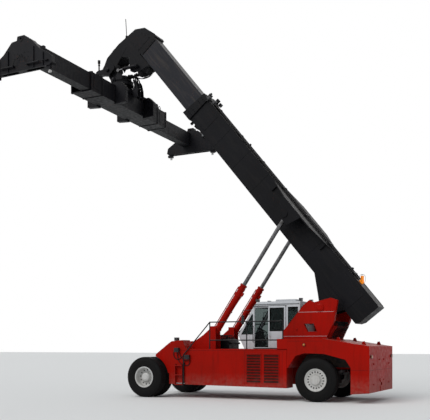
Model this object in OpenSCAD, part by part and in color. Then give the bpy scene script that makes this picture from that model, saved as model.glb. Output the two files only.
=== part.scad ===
// Reach stacker: a wheeled container handler with a telescopic boom and a
// telescopic spreader. Millimetres. X points to the spreader, Y to the left
// side and Z up. Sizes along X are given from the rear axle.

/* [Chassis] */
// Distance between the axles
wheelbase = 6550; // [6200:10:6900]
// Half the width over the side housings
body_half_w = 1600; // [1560:5:1650]
// Height of the walkway deck
deck_z = 1800; // [1760:5:1850]
// Underside of the side housings
belly_z = 450; // [400:10:520]
// Rear face of the counterweight
rear_x = -1850; // [-2000:10:-1800]
// Outer face of the main rails
rail_half_w = 480; // [440:5:490]
// Plate thickness of the rails and brackets
plate = 40; // [30:2:50]
// Sheet thickness of the housings
sheet = 20; // [12:1:30]

/* [Wheels] */
// Tyre radius out to the tread
tyre_r = 750; // [700:5:780]
// Tyre width
tyre_w = 430; // [400:5:450]
// Rim radius where the tyre sits
rim_r = 325; // [310:1:340]
// Outer face of the outer front tyre
front_face_y = 2030; // [1990:5:2080]
// Gap between twin tyres
twin_gap = 90; // [70:5:120]
// Outer face of the rear tyre
rear_face_y = 1620; // [1600:5:1660]
// Radius of the wheel spindles
spindle_r = 90; // [70:5:100]
// Distance of the kingpin from the middle
kingpin_y = 1050; // [1040:5:1060]

/* [Boom] */
// Height of the boom pivot
pivot_z = 3250; // [3200:10:3300]
// Boom pivot ahead of the rear axle
pivot_x = 50; // [0:5:100]
// Boom elevation as parked
boom_angle = 50.8; // [48:0.1:52]
// Length of the outer section ahead of the pivot
outer_len = 9500; // [9200:50:9800]
// Heel behind the pivot
heel_len = 1200; // [1100:10:1250]
// Depth of the outer section
outer_h = 980; // [960:5:1000]
// Half the width of the outer section
outer_half_w = 390; // [380:5:410]
// Underside of the outer section above the pivot
outer_low = 490; // [470:5:510]
// Boom wall thickness
boom_wall = 20; // [14:1:24]
// Gap between the two sections
boom_gap = 50; // [40:1:60]
// Inner section drawn out, as parked
extension = 3400; // [3200:50:3600]

/* [Lift cylinders] */
// Distance of the lift cylinders from the middle
lift_y = 800; // [780:5:820]
// Base pin behind the front axle
lift_base_back = 1350; // [1330:10:1390]
// Height of the base pin
lift_base_z = 900; // [880:10:940]
// Rod pin along the boom
lift_top_x = 3400; // [3350:10:3450]
// Rod pin above the boom's pivot line
lift_top_z = 1090; // [1060:5:1110]
// Barrel radius
lift_barrel_r = 115; // [100:1:125]
// Rod radius
lift_rod_r = 72; // [60:1:80]
// Barrel length from its pin
lift_barrel_len = 3850; // [3700:10:3870]
// Rod length to its pin
lift_rod_len = 3740; // [3700:10:3800]

/* [Cab] */
// Half the width of the cab
cab_half_w = 780; // [750:5:790]
// Rear wall of the cab
cab_rear_x = 850; // [840:5:900]
// Roof height
cab_roof_z = 3500; // [3450:5:3510]
// Thickness of the cab panels
cab_wall = 50; // [40:1:60]
// Glass thickness
glass_t = 10; // [6:1:12]

/* [Spreader] */
// Slewing axis behind the tilt pin
slew_back = 502; // [480:2:520]
// Top of the container below the tilt pin
load_drop = 2120; // [2100:5:2140]
// Lock spacing along the container
lock_span = 11985; // [11980:1:11990]
// Lock spacing across the container
lock_gauge = 2259; // [2257:1:2261]
// Half the length of the main frame
main_half_len = 2780; // [2700:10:2790]
// Height of the main frame
main_h = 680; // [660:5:700]
// Half the width of the main frame
main_half_w = 450; // [440:5:480]
// Underside of the main frame above the container
main_rise = 420; // [400:5:440]
// Clearance of sliding pieces
slide_gap = 10; // [6:1:14]

/* [Hidden] */
$fn = 48;
fit = 0.5;

axle_z = tyre_r;
twin_pitch = tyre_w + twin_gap;
front_outer_y = front_face_y - tyre_w / 2;
rear_wheel_y = rear_face_y - tyre_w / 2;

// A flat shape in X and Z, made solid from y0 to y1
module slab(y0, y1) {
    translate([0, y1, 0]) rotate([90, 0, 0]) linear_extrude(y1 - y0) children();
}

module pair() {
    children();
    mirror([0, 1, 0]) children();
}

module block(low, high) {
    translate(low) cube(high - low);
}

module shaft_y(x, z, r, y0, y1) {
    translate([x, y1, z]) rotate([90, 0, 0]) cylinder(r = r, h = y1 - y0);
}

module tube(a, b, r) {
    d = b - a;
    translate(a) rotate([0, acos(d.z / norm(d)), atan2(d.y, d.x)])
        cylinder(r = r, h = norm(d), $fn = 24);
}

module tubes(routes, r) {
    for (route = routes)
        for (k = [1 : len(route) - 1]) {
            tube(route[k - 1], route[k], r);
            if (k < len(route) - 1) translate(route[k]) sphere(r = r + 1, $fn = 24);
        }
}

// The boom's own frame, X along it from the pivot
module in_boom() {
    translate([pivot_x, 0, pivot_z]) rotate([0, -boom_angle, 0]) children();
}

function boom_point(x, z) = [pivot_x + x * cos(boom_angle) - z * sin(boom_angle),
    pivot_z + x * sin(boom_angle) + z * cos(boom_angle)];

tilt_pin_x = outer_len + extension + 690;
tilt_pin_z = -920;
tilt_pin = boom_point(tilt_pin_x, tilt_pin_z);
slew_x = tilt_pin.x - slew_back;
load_top_z = tilt_pin.y - load_drop;
main_low_z = load_top_z + main_rise;
front_x = slew_x + lock_gauge / 2 + 170.5;
tail_lamp_t = 40;
mid_x = (front_x + rear_x - tail_lamp_t) / 2;

lift_base_x = wheelbase - lift_base_back;
lift_top = boom_point(lift_top_x, lift_top_z);
lift_run = lift_top - [lift_base_x, lift_base_z];
lift_pin_r = 60;
module in_lift(side) {
    translate([lift_base_x, side * lift_y, lift_base_z])
        rotate([0, -atan2(lift_run.y, lift_run.x), 0]) children();
}

// Chassis
rail_w = 130;
rail_low = 560;
rail_high = 1500;
lift_lug_r = 180;
lift_lug_y = [lift_y - 150, lift_y + 150];
cross_x = [1250, 2900, lift_base_x - 600, lift_base_x + 400];
cross_w = 160;
module rail_side() {
    polygon([[rear_x + 300, 1100], [-1000, 1100], [1000, 1100], [1150, rail_low],
        [wheelbase - 420, rail_low], [wheelbase - 330, 1060], [wheelbase + 330, 1060],
        [wheelbase + 330, 1400], [wheelbase - 200, rail_high],
        [rear_x + 300, rail_high]]);
}
module frame() color("firebrick") {
    pair() slab(rail_half_w - rail_w, rail_half_w) rail_side();
    for (x = cross_x)
        block([x, -rail_half_w + rail_w, rail_low + 60],
            [x + cross_w, rail_half_w - rail_w, rail_high - 200]);
    // Outriggers to the side housings
    pair() for (x = [1250, 2900, lift_base_x - 1300])
        block([x, rail_half_w, rail_low + 140], [x + 120, housing_in_y - fit, rail_high - 200]);
    pair() {
        for (y = lift_lug_y)
            slab(y - plate / 2, y + plate / 2) difference() {
                union() {
                    translate([lift_base_x, lift_base_z]) circle(lift_lug_r);
                    polygon([[lift_base_x - 500, rail_low],
                        [lift_base_x + 300, rail_low],
                        [lift_base_x + lift_lug_r, lift_base_z],
                        [lift_base_x - lift_lug_r, lift_base_z]]);
                }
                translate([lift_base_x, lift_base_z]) circle(lift_pin_r + fit);
            }
        block([lift_base_x - 500, rail_half_w, rail_low - 20],
            [lift_base_x + 300, lift_lug_y[1] + plate / 2, rail_low]);
        shaft_y(lift_base_x, lift_base_z, lift_pin_r, lift_lug_y[0] - plate / 2 - 10,
            lift_lug_y[1] + plate / 2 + 10);
    }
    // Axle seats under the rails
    pair() block([wheelbase - 200, rail_half_w - rail_w, axle_z + axle_r - 10],
        [wheelbase + 200, rail_half_w, 1062]);
    pair() block([-160, rail_half_w - rail_w, axle_z + 160],
        [160, rail_half_w, 1102]);
}

axle_r = 190;
module front_axle() color("dimgray") {
    hub_in = front_outer_y - twin_pitch - tyre_w / 2;
    difference() {
        union() {
            shaft_y(wheelbase, axle_z, axle_r, -hub_in + 60, hub_in - 60);
            translate([wheelbase, 0, axle_z]) scale(1) sphere(r = 300);
            pair() shaft_y(wheelbase, axle_z, spindle_r, hub_in - 60, front_hub_end - 50 - fit);
        }
        pair() block([wheelbase - 201, rail_half_w - rail_w - 10, axle_z + axle_r - 10.5],
            [wheelbase + 201, rail_half_w + 10, axle_z + 400]);
    }
}

ear_h = 60;
ear_gap = 300;
kingpin_r = 45;
steer_z = axle_z + 235;
steer_x = -280;
module rear_axle() color("dimgray") {
    block([-150, -kingpin_y + 150, axle_z - 160], [150, kingpin_y - 150, axle_z + 159.5]);
    pair() for (z = [axle_z - ear_gap / 2 - ear_h, axle_z + ear_gap / 2])
        difference() {
            union() {
                translate([0, kingpin_y, z]) cylinder(r = 110, h = ear_h);
                block([-110, kingpin_y - 160, z], [110, kingpin_y, z + ear_h]);
            }
            translate([0, kingpin_y, z - 1])
                cylinder(r = kingpin_r + fit, h = ear_h + 2);
        }
    // Steering cylinder across the back of the beam
    difference() {
        union() {
            shaft_y(steer_x, steer_z, 75, -430, 430);
            block([steer_x, -200, axle_z + 100], [-140, 200, steer_z]);
        }
        shaft_y(steer_x, steer_z, 40 + fit, -431, 431);
    }
}

module steering_rod() color("silver") {
    shaft_y(steer_x, steer_z, 40, -kingpin_y + 90, kingpin_y - 90);
    pair() difference() {
        translate([steer_x, kingpin_y - 50, steer_z - 30]) cylinder(r = 60, h = 60);
        translate([steer_x, kingpin_y - 50, steer_z - 31]) cylinder(r = 25, h = 62);
    }
}

module knuckle(side) color("dimgray") scale_side(side) {
    translate([0, kingpin_y, axle_z - ear_gap / 2 + fit])
        cylinder(r = 105, h = ear_gap - 2 * fit);
    translate([0, kingpin_y, axle_z - ear_gap / 2 - ear_h - 10])
        cylinder(r = kingpin_r, h = steer_z + 85 - axle_z + ear_gap / 2 + ear_h);
    shaft_y(0, axle_z, spindle_r, kingpin_y, rear_hub_end - 50 - fit);
    translate([0, 0, steer_z + 40 + fit]) linear_extrude(45) hull() {
        translate([steer_x, kingpin_y - 50]) circle(60);
        translate([0, kingpin_y]) circle(80);
    }
}
module scale_side(side) {
    if (side > 0) children();
    else mirror([0, 1, 0]) children();
}

// A tyre's half section: radius, distance from its middle
module tyre(x, y) color("#1c1c1e") {
    shoulder = tyre_w / 2;
    half = [[rim_r, shoulder - 70], [rim_r + 40, shoulder - 40],
        [(rim_r + tyre_r) / 2, shoulder],
        [tyre_r - 70, shoulder - 20], [tyre_r - 22, shoulder - 52],
        [tyre_r, shoulder - 95]];
    translate([x, y, axle_z]) rotate([-90, 0, 0]) rotate_extrude($fn = 40)
        polygon(concat(half, [for (k = [len(half) - 1 : -1 : 0]) [half[k].x, -half[k].y]]));
}

// A disc wheel: deep sets the disc in from the outer edge
rim_edge = tyre_w / 2 - 45;
hub_r = 170;
module rim(x, y, deep) {
    translate([x, y, axle_z]) rotate([-90, 0, 0]) difference() {
        union() {
            rotate_extrude($fn = 64) polygon([[rim_r - 22, -rim_edge - 18],
                [rim_r + 12, -rim_edge - 18], [rim_r + 12, -rim_edge], [rim_r - fit, -rim_edge],
                [rim_r - fit, rim_edge], [rim_r + 12, rim_edge], [rim_r + 12, rim_edge + 18],
                [rim_r - 22, rim_edge + 18]]);
            translate([0, 0, rim_edge - deep - 20]) cylinder(r = rim_r - 21, h = 20, $fn = 64);
        }
        for (k = [0 : 9]) rotate(36 * k) translate([245, 0, rim_edge - deep - 30])
            cylinder(r = 26, h = 50, $fn = 24);
        translate([0, 0, rim_edge - deep - 30]) cylinder(r = hub_r - 10, h = 50);
    }
}
module hub(x, y0, y1) difference() {
    shaft_y(x, axle_z, hub_r, y0, y1);
    shaft_y(x, axle_z, spindle_r + fit, y0 - 1, y1 - 50);
}
front_deep = 190;
rear_deep = 90;
front_hub_end = front_outer_y + 110;
rear_hub_end = rear_wheel_y + 210;

module front_tyres() for (k = [0, 1]) tyre(wheelbase, front_outer_y - k * twin_pitch);
module front_rims() color("gainsboro") {
    rim(wheelbase, front_outer_y, front_deep);
    mirror_at(front_outer_y - twin_pitch) rim(wheelbase, front_outer_y - twin_pitch, front_deep);
    hub(wheelbase, front_outer_y - twin_pitch, front_hub_end);
}
module rear_rim() color("gainsboro") {
    rim(0, rear_wheel_y, rear_deep);
    hub(0, rear_wheel_y + 20, rear_hub_end);
}
module mirror_at(y) translate([0, y, 0]) mirror([0, 1, 0]) translate([0, -y, 0]) children();

// Side housings: hollow boxes with louvred vents in their outer wall
housing_rear_x = 1040;
housing_front_x = wheelbase - 850;
housing_in_y = lift_lug_y[1] + plate / 2 + 15;
vents = [[1330, 1880], [2010, 2540]];   // start and end of each vent along X
vent_low = 620;
vent_high = 1620;
slat_pitch = 100;
module housing_side() {
    polygon([[housing_rear_x, belly_z], [housing_front_x, belly_z + 50],
        [housing_front_x, deck_z - sheet], [housing_rear_x, deck_z - sheet]]);
}
module housing() color("firebrick") {
    difference() {
        slab(housing_in_y, body_half_w) housing_side();
        slab(housing_in_y + sheet, body_half_w - sheet)
            offset(delta = -sheet) housing_side();
        for (v = vents)
            block([v[0], body_half_w - sheet - 1, vent_low],
                [v[1], body_half_w + 1, vent_high]);
    }
    for (v = vents, z = [vent_low + slat_pitch / 2 : slat_pitch : vent_high])
        translate([v[0], body_half_w - 14, z]) rotate([-35, 0, 0])
            cube([v[1] - v[0], 6, 70]);
}
module engine() color("#3a3a3c")
    block([cross_x[0] + cross_w + fit, -rail_half_w + rail_w + 70, rail_low + 200],
        [cross_x[1] - fit, rail_half_w - rail_w - 70, rail_high - 30]);

// Deck: walkway plates round the wells of the lift cylinders
deck_front_x = housing_front_x - 100;
well = [lift_base_x - 1500, lift_base_x + 280];
well_half_w = 175;
hood_z = deck_z + 285;
hood_rise = 40;
hood_rear_x = lift_base_x - 900;
hood_tip_z = deck_z - 200;
module deck() color("firebrick") difference() {
    union() {
        block([cab_rear_x + 560, -body_half_w, deck_z - sheet + fit],
            [housing_front_x, body_half_w, deck_z]);
        // Front hood between the wheels
        slab(-rail_half_w, rail_half_w) polygon([[hood_rear_x, deck_z],
            [deck_front_x + 20, deck_z], [deck_front_x + 420, hood_tip_z],
            [deck_front_x + 680, hood_tip_z], [deck_front_x, hood_z], [hood_rear_x, hood_z + hood_rise]]);
        pair() slab(lift_lug_y[1] + 60, body_half_w) polygon([[lift_base_x - 200, deck_z - 1],
            [housing_front_x, deck_z - 1], [housing_front_x, hood_z - 62],
            [deck_front_x, hood_z], [lift_base_x - 50, hood_z + hood_rise]]);
    }
    pair() block([well[0], lift_y - well_half_w, deck_z - 100],
        [well[1], lift_y + well_half_w, hood_z + 100]);
}

// Guards: cheek plates that stand beside the foot of each lift cylinder
guard_t = 30;
guard_x = [well[0] + 370, lift_base_x - 200];
guard_top = [guard_x[0] + 240, deck_z + 840];
module lift_guards() color("firebrick") pair()
    for (y = [lift_y - well_half_w - guard_t, lift_y + well_half_w])
        slab(y, y + guard_t) polygon([[guard_x[0], deck_z], [guard_x[1], deck_z],
            [guard_x[1], deck_z + 250], [guard_top.x + 270, guard_top.y - 320],
            [guard_top.x, guard_top.y - 100], guard_top, [guard_x[0], guard_top.y]]);

// Main valve of the hydraulics, between the wells
valve_len = 440;
valve_half_w = 420;
module main_valve() color("#1c1c1e") {
    slab(-valve_half_w, valve_half_w) translate([well[0] + 80, deck_z])
        polygon([[0, 0], [valve_len, 0], [valve_len, 280], [valve_len - 70, 380],
            [120, 380], [0, 290]]);
    for (y = [-valve_half_w + 90 : 110 : valve_half_w - 60])
        translate([well[0] + 85, y, deck_z + 210]) rotate([0, -90, 0]) cylinder(r = 34, h = 90);
    for (y = [-valve_half_w + 145 : 220 : valve_half_w - 60])
        translate([well[0] + 80 + valve_len / 2, y, deck_z + 379]) cylinder(r = 42, h = 70);
}

// Fenders behind the front wheels, open on their inner side
guard_r = tyre_r + 60;
guard_in_y = lift_lug_y[1] + 60;
module guard_side() difference() {
    polygon([[housing_front_x + fit, 900], [housing_front_x + fit, hood_z - 62],
        [wheelbase - 270, hood_tip_z], [wheelbase - 260, hood_tip_z - 60],
        [wheelbase - 300, 900]]);
    translate([wheelbase, axle_z]) circle(guard_r, $fn = 96);
}
module mudguards() color("firebrick") pair() difference() {
    slab(guard_in_y, body_half_w) guard_side();
    slab(guard_in_y - 1, body_half_w - sheet) offset(delta = -sheet) guard_side();
}

// Counterweight: the whole tail, with an arch over each steered wheel
// Shelf that the tower stands on
shelf_z = 2150;
shelf_x = cab_rear_x + 550;
module counterweight() color("firebrick") {
    difference() {
        union() {
            slab(-body_half_w, body_half_w) polygon([[1030, 1150], [1030, deck_z],
                [shelf_x, deck_z + fit], [shelf_x, shelf_z], [-250, shelf_z], [rear_x, 1900],
                [rear_x, 350], [-1220, 300], [-1220, 1180], [-1040, 1450],
                [-300, 1640], [400, 1660], [720, 1570], [1000, 1150]]);
        }
        block([-1219, -rail_half_w - fit, 0], [2000, rail_half_w + fit, rail_high + fit]);
        block([rear_x + 300 - fit, -rail_half_w - fit, 1100 - fit],
            [-1200, rail_half_w + fit, rail_high + fit]);
        block([cab_rear_x - 20, -cab_half_w - 60, deck_z - 60], [1500, cab_half_w + 60, shelf_z + 100]);
        slab(-body_half_w + 30, body_half_w - 30) polygon([[-1180, 1530], [-1000, 1540],
            [-300, 1675], [400, 1695], [740, 1660], [cab_rear_x - 19, 1780],
            [cab_rear_x - 19, shelf_z - 30], [-250, shelf_z - 30], [-1180, 1970]]);
        // Tow jaw with its pin hole
        block([rear_x - 1, -90, 560], [rear_x + 220, 90, 660]);
        translate([rear_x + 110, 0, 420]) cylinder(r = tow_r, h = 380);
    }
}
tow_r = 26;

// Tower: two side plates that carry the boom pin between them
tower_y = [850, 1000];
tower_top = [[shelf_x, shelf_z + fit], [shelf_x, 2420], [640, 3330], [430, 3500], [250, 3420],
    [-350, 3560], [-580, 3480], [-470, 2800], [-190, 2200], [-200, shelf_z + fit]];
pivot_pin_r = 90;
module tower() color("firebrick") {
    pair() slab(tower_y[0], tower_y[1]) difference() {
        polygon(tower_top);
        translate([-60, 40]) polygon([[200, 2360], [560, 2360], [700, 2650], [320, 2650]]);
        translate([pivot_x, pivot_z]) circle(pivot_pin_r + fit);
    }
    shaft_y(pivot_x, pivot_z, pivot_pin_r, -tower_y[1] - 30, tower_y[1] + 30);
    pair() shaft_y(pivot_x, pivot_z, pivot_pin_r + 60, outer_half_w + fit, tower_y[0]);
    slab(-tower_y[0], tower_y[0]) polygon([[-180, shelf_z + fit], [0, shelf_z + fit],
        [-330, 2600], [-430, 2600]]);
}

rail_r = 21;
rail_top_z = deck_z + 970;
rail_foot_x = housing_front_x - 640;
rail_front_x = housing_front_x - 1675;
rail_rear_x = cab_rear_x + 340;
rail_mid_z = shelf_z - 35;
// Posts: share of the rail's length, height of the foot
rail_posts = [[0, shelf_z], [0.483, deck_z], [1, deck_z]];
step_x = [rail_foot_x + 25, rail_foot_x + 330];
step_z = [belly_z + 30, belly_z + 380, belly_z + 730];
module rails_and_steps() color("#202022") pair() {
    y = body_half_w - 38;
    out = body_half_w + 60;
    tubes([[[rail_rear_x, y, rail_top_z], [rail_front_x, y, rail_top_z],
            [rail_foot_x, out, deck_z - 220], [rail_foot_x, out, belly_z + 110],
            [rail_foot_x, body_half_w + fit, belly_z + 110]],
        [[shelf_x + fit, y, rail_mid_z], [rail_front_x, y, rail_mid_z]]], rail_r);
    for (post = rail_posts) {
        x = rail_rear_x + post[0] * (rail_front_x - rail_rear_x);
        tube([x, y, post[1]], [x, y, rail_top_z], rail_r);
    }
    // Steps between two stringers on the housing's side
    for (x = step_x)
        block([x, body_half_w + fit, step_z[0] - 20], [x + 15, body_half_w + 110, step_z[2] + 60]);
    for (z = step_z)
        block([step_x[0] + 14, body_half_w + fit, z], [step_x[1] + 1, body_half_w + 130, z + 25]);
}

module lamps() color("gold") pair() {
    lamp_z = hood_z + hood_rise * 200 / (deck_front_x - lift_base_x + 50) + fit;
    block([deck_front_x - 200, body_half_w - 240, lamp_z],
        [deck_front_x - 80, body_half_w - 60, lamp_z + 120]);
    block([rear_x - tail_lamp_t, body_half_w - 300, 1500], [rear_x, body_half_w - 120, 1600]);
    shaft_y(404, 1950, 45, body_half_w + fit, body_half_w + 30);
    // Work lamps on the side, ahead of and behind the rail's foot
    for (p = side_lamps) block([p.x - 85, body_half_w + fit, p.y - 80],
        [p.x + 85, body_half_w + 130, p.y + 80]);
}
side_lamps = [[rail_foot_x + 270, deck_z - 40], [rail_foot_x - 170, deck_z - 300]];
module beacon() color("orange") in_boom() translate([-60, 0, outer_top + fit]) {
    block([-75, -60, 0], [75, 60, 90]);
    translate([0, 0, 60]) rotate([0, boom_angle, 0]) cylinder(r = 55, h = 190);
}

module exhaust() color("#454548") {
    translate([2600, 350 - body_half_w, deck_z]) cylinder(r = 110, h = 900);
    translate([2600, 350 - body_half_w, deck_z + 899]) cylinder(r = 55, h = 500);
}

// Cab: a hollow shell with a leaning windscreen
cab_floor_z = deck_z + fit;
function cab_side(t) = [[cab_rear_x + t, cab_floor_z + t], [3000 - t, cab_floor_z + t],
    [3250 - t, 2300], [2600 - t, cab_roof_z - 120 - t], [2480 - t, cab_roof_z - t],
    [cab_rear_x + t, cab_roof_z - t]];
door_x = [1390, 2040];
doorway_x = [2050, 2600];
door_high = 3300;

// Window shapes in X and Z
module quarter_window() polygon([[2660, 2330], [3130, 2330], [2700, 3060], [2660, 3060]]);
module rear_side_window() translate([cab_rear_x + 80, 2650]) square([1300 - cab_rear_x - 80, 650]);
module mid_window() translate([1400, 2420]) square([580, door_high - 60 - 2420]);
module doorway_window() translate([doorway_x[0], 2300])
    square([doorway_x[1] - doorway_x[0], door_high - 2300]);
screen_low = [3228, 2337];
screen_high = [2594, 3372];
screen_half_w = cab_half_w - 90;
rear_window = [[-cab_half_w + 120, 2700], [cab_half_w - 120, 3300]];
// Along the leaning windscreen: X from its foot to its top, Z outwards
screen_run = screen_high - screen_low;
module in_screen() translate([screen_low.x, 0, screen_low.y])
    rotate([0, -atan2(screen_run.y, screen_run.x), 0]) children();
screen_len = norm(screen_run);

module cab_shell() color("whitesmoke") difference() {
    slab(-cab_half_w, cab_half_w) polygon(cab_side(0));
    slab(-cab_half_w + cab_wall, cab_half_w - cab_wall) polygon(cab_side(cab_wall));
    block([doorway_x[0], cab_half_w - cab_wall - 1, cab_floor_z + 60],
        [doorway_x[1], cab_half_w + 1, door_high]);
    for (y = [[-cab_half_w - 1, -cab_half_w + cab_wall + 1],
            [cab_half_w - cab_wall - 1, cab_half_w + 1]])
        slab(y[0], y[1]) {
            quarter_window();
            rear_side_window();
            mid_window();
        }
    slab(-cab_half_w - 1, -cab_half_w + cab_wall + 1) doorway_window();
    in_screen() block([60, -screen_half_w, -cab_wall - 30],
        [screen_len - 60, screen_half_w, cab_wall + 30]);
    block([cab_rear_x - 1, rear_window[0].x, rear_window[0].y],
        [cab_rear_x + cab_wall + 1, rear_window[1].x, rear_window[1].y]);
}

module cab_glass() color("lightblue") {
    for (s = [-1, 1]) {
        y = s * (cab_half_w - cab_wall / 2);
        slab(y - glass_t / 2, y + glass_t / 2) offset(delta = -fit) {
            quarter_window();
            rear_side_window();
            mid_window();
        }
    }
    slab(-cab_half_w + (cab_wall - glass_t) / 2, -cab_half_w + (cab_wall + glass_t) / 2)
        offset(delta = -fit) doorway_window();
    in_screen() block([60 + fit, -screen_half_w + fit, 16],
        [screen_len - 60 - fit, screen_half_w - fit, 16 + glass_t]);
    block([cab_rear_x + 20, rear_window[0].x + fit, rear_window[0].y + fit],
        [cab_rear_x + 20 + glass_t, rear_window[1].x - fit, rear_window[1].y - fit]);
}

// Seat and console stand on the cab floor
floor_top = cab_floor_z + cab_wall + fit;
module seat() color("#26262a") {
    block([1450, -200, floor_top], [1850, 200, floor_top + 320]);
    block([1400, -250, floor_top + 320], [1930, 250, floor_top + 440]);
    slab(-240, 240) polygon([[1400, floor_top + 440], [1530, floor_top + 440],
        [1430, floor_top + 1060], [1320, floor_top + 1040]]);
    pair() block([1480, 260, floor_top + 560], [1820, 330, floor_top + 620]);
    pair() block([1500, 240, floor_top + 400], [1560, 330, floor_top + 561]);
}
wheel_tilt = 30;
module console() color("#303034") {
    slab(-160, 160) polygon([[2500, floor_top], [2900, floor_top],
        [2800, floor_top + 560], [2640, floor_top + 620]]);
    translate([2700, 0, floor_top + 500]) rotate([0, -wheel_tilt, 0]) {
        cylinder(r = 30, h = 160);
        translate([0, 0, 150]) rotate_extrude() translate([200, 0]) circle(r = 16, $fn = 16);
        translate([0, 0, 144]) for (k = [0 : 2]) rotate(120 * k)
            translate([0, -14, 0]) cube([195, 28, 12]);
        translate([0, 0, 140]) cylinder(r = 45, h = 24);
    }
}

// Sliding door outside the left wall, parked open behind the doorway
door_y = [cab_half_w + fit, cab_half_w + fit + 40];
door_low = cab_floor_z + 40;
door_top = door_high + 40;
module door_pane() translate([door_x[0] + 60, 2450])
    square([door_x[1] - door_x[0] - 120, door_high - 30 - 2450]);
module cab_door() color("whitesmoke") {
    slab(door_y[0], door_y[1]) difference() {
        translate([door_x[0], door_low]) square([door_x[1] - door_x[0], door_top - door_low]);
        door_pane();
    }
    tube([door_x[1] - 60, door_y[1] - 1, 2250], [door_x[1] - 60, door_y[1] + 50, 2250], 8);
    tube([door_x[1] - 60, door_y[1] + 50, 2160], [door_x[1] - 60, door_y[1] + 50, 2420], 12);
}
module door_glass() color("lightblue")
    slab(door_y[0] + 15, door_y[0] + 15 + glass_t) offset(delta = -fit) door_pane();

// Boom, outer section
outer_top = outer_low + outer_h;
collar_len = 350;
collar_out = 60;
inner_low = outer_low + boom_wall + boom_gap;
inner_top = outer_top - boom_wall - boom_gap;
inner_half_w = outer_half_w - boom_wall - boom_gap;
lug_half_w = outer_half_w;
wing = [[1500, outer_half_w], [2400, 980], [3850, 980], [4900, outer_half_w]];
wing_t = 40;
cheek_x = [2900, 3950];
module boom_outer() color("#24252a") in_boom() {
    difference() {
        union() {
            slab(-outer_half_w, outer_half_w) polygon([[-heel_len, outer_low + 150],
                [-heel_len + 60, outer_low], [outer_len, outer_low],
                [outer_len, outer_top], [-heel_len - 10, outer_top]]);
            slab(-outer_half_w - collar_out, outer_half_w + collar_out)
                polygon([[outer_len - collar_len, outer_low - collar_out],
                    [outer_len + 60, outer_low - collar_out],
                    [outer_len - 60, outer_top + collar_out],
                    [outer_len - collar_len, outer_top + collar_out]]);
        }
        slab(-outer_half_w + boom_wall, outer_half_w - boom_wall)
            polygon([[-heel_len + 60, outer_low + boom_wall],
                [outer_len + 100, outer_low + boom_wall],
                [outer_len + 100, outer_top - boom_wall],
                [-heel_len + 60, outer_top - boom_wall]]);
    }
    // Wear pads in the collar
    for (z = [[outer_low + boom_wall, inner_low - fit], [inner_top + fit, outer_top - boom_wall]])
        block([outer_len - 320, -inner_half_w + 20, z[0]], [outer_len - 80, inner_half_w - 20, z[1]]);
    pair() block([outer_len - 320, inner_half_w + fit, inner_low + 60],
        [outer_len - 80, outer_half_w - boom_wall, inner_top - 60]);
    // Pivot lugs
    pair() slab(lug_half_w - 90, lug_half_w) difference() {
        union() {
            circle(250);
            polygon([[-245, -50], [-500, outer_low + 1], [1250, outer_low + 1],
                [520, 80], [230, -95]]);
        }
        circle(pivot_pin_r + fit);
    }
    // Wings and cheeks that hold the rod pins of the lift cylinders
    translate([0, 0, outer_top - wing_t]) pair() linear_extrude(wing_t)
        polygon(concat(wing, [[4900, outer_half_w - 1], [1500, outer_half_w - 1]]));
    // Lamp bracket on the collar and a stop under it
    for (y = [-330, 330]) block([outer_len - 330, y - 60, outer_top + collar_out - 1],
        [outer_len - 210, y + 60, outer_top + collar_out + 150]);
    block([outer_len - 700, -200, outer_low - 110], [outer_len - 560, 200, outer_low + 1]);
    pair() {
        slab(940, 980) polygon([[cheek_x[0], outer_top - wing_t + 1],
            [cheek_x[0] + 150, lift_top_z - 200], [cheek_x[1] - 250, lift_top_z - 200],
            [cheek_x[1], outer_top - wing_t + 1]]);
        shaft_y(lift_top_x, lift_top_z, 110, 979, 1010);
    }
}

// Pipes on the boom's back, with their clamps
pipe_y = [-180, -120, -60, 60, 120, 180];
clamp_x = [for (k = [0 : 6]) 300 + k * (outer_len - 1100) / 6];
module boom_pipes() color("#1b1b1e") in_boom() {
    for (y = pipe_y) tube([100, y, outer_top + 40], [outer_len - 450, y, outer_top + 40], 18);
    for (x = clamp_x)
        block([x, -210, outer_top + fit], [x + 60, 210, outer_top + 70]);
}

inner_rear = outer_len - 0.558 * outer_len;
inner_front = outer_len + extension;
module boom_inner() color("#2b2c31") in_boom() {
    difference() {
        slab(-inner_half_w, inner_half_w) polygon([[inner_rear, inner_low],
            [inner_front, inner_low], [inner_front, inner_top], [inner_rear, inner_top]]);
        slab(-inner_half_w + 16, inner_half_w - 16) polygon([[inner_rear - 1, inner_low + 16],
            [inner_front - 40, inner_low + 16], [inner_front - 40, inner_top - 16],
            [inner_rear - 1, inner_top - 16]]);
    }
    // Wear pads at the tail
    for (z = [[outer_low + boom_wall + fit, inner_low], [inner_top, outer_top - boom_wall - fit]])
        block([inner_rear, -inner_half_w + 20, z[0]], [inner_rear + 240, inner_half_w - 20, z[1]]);
}

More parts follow.
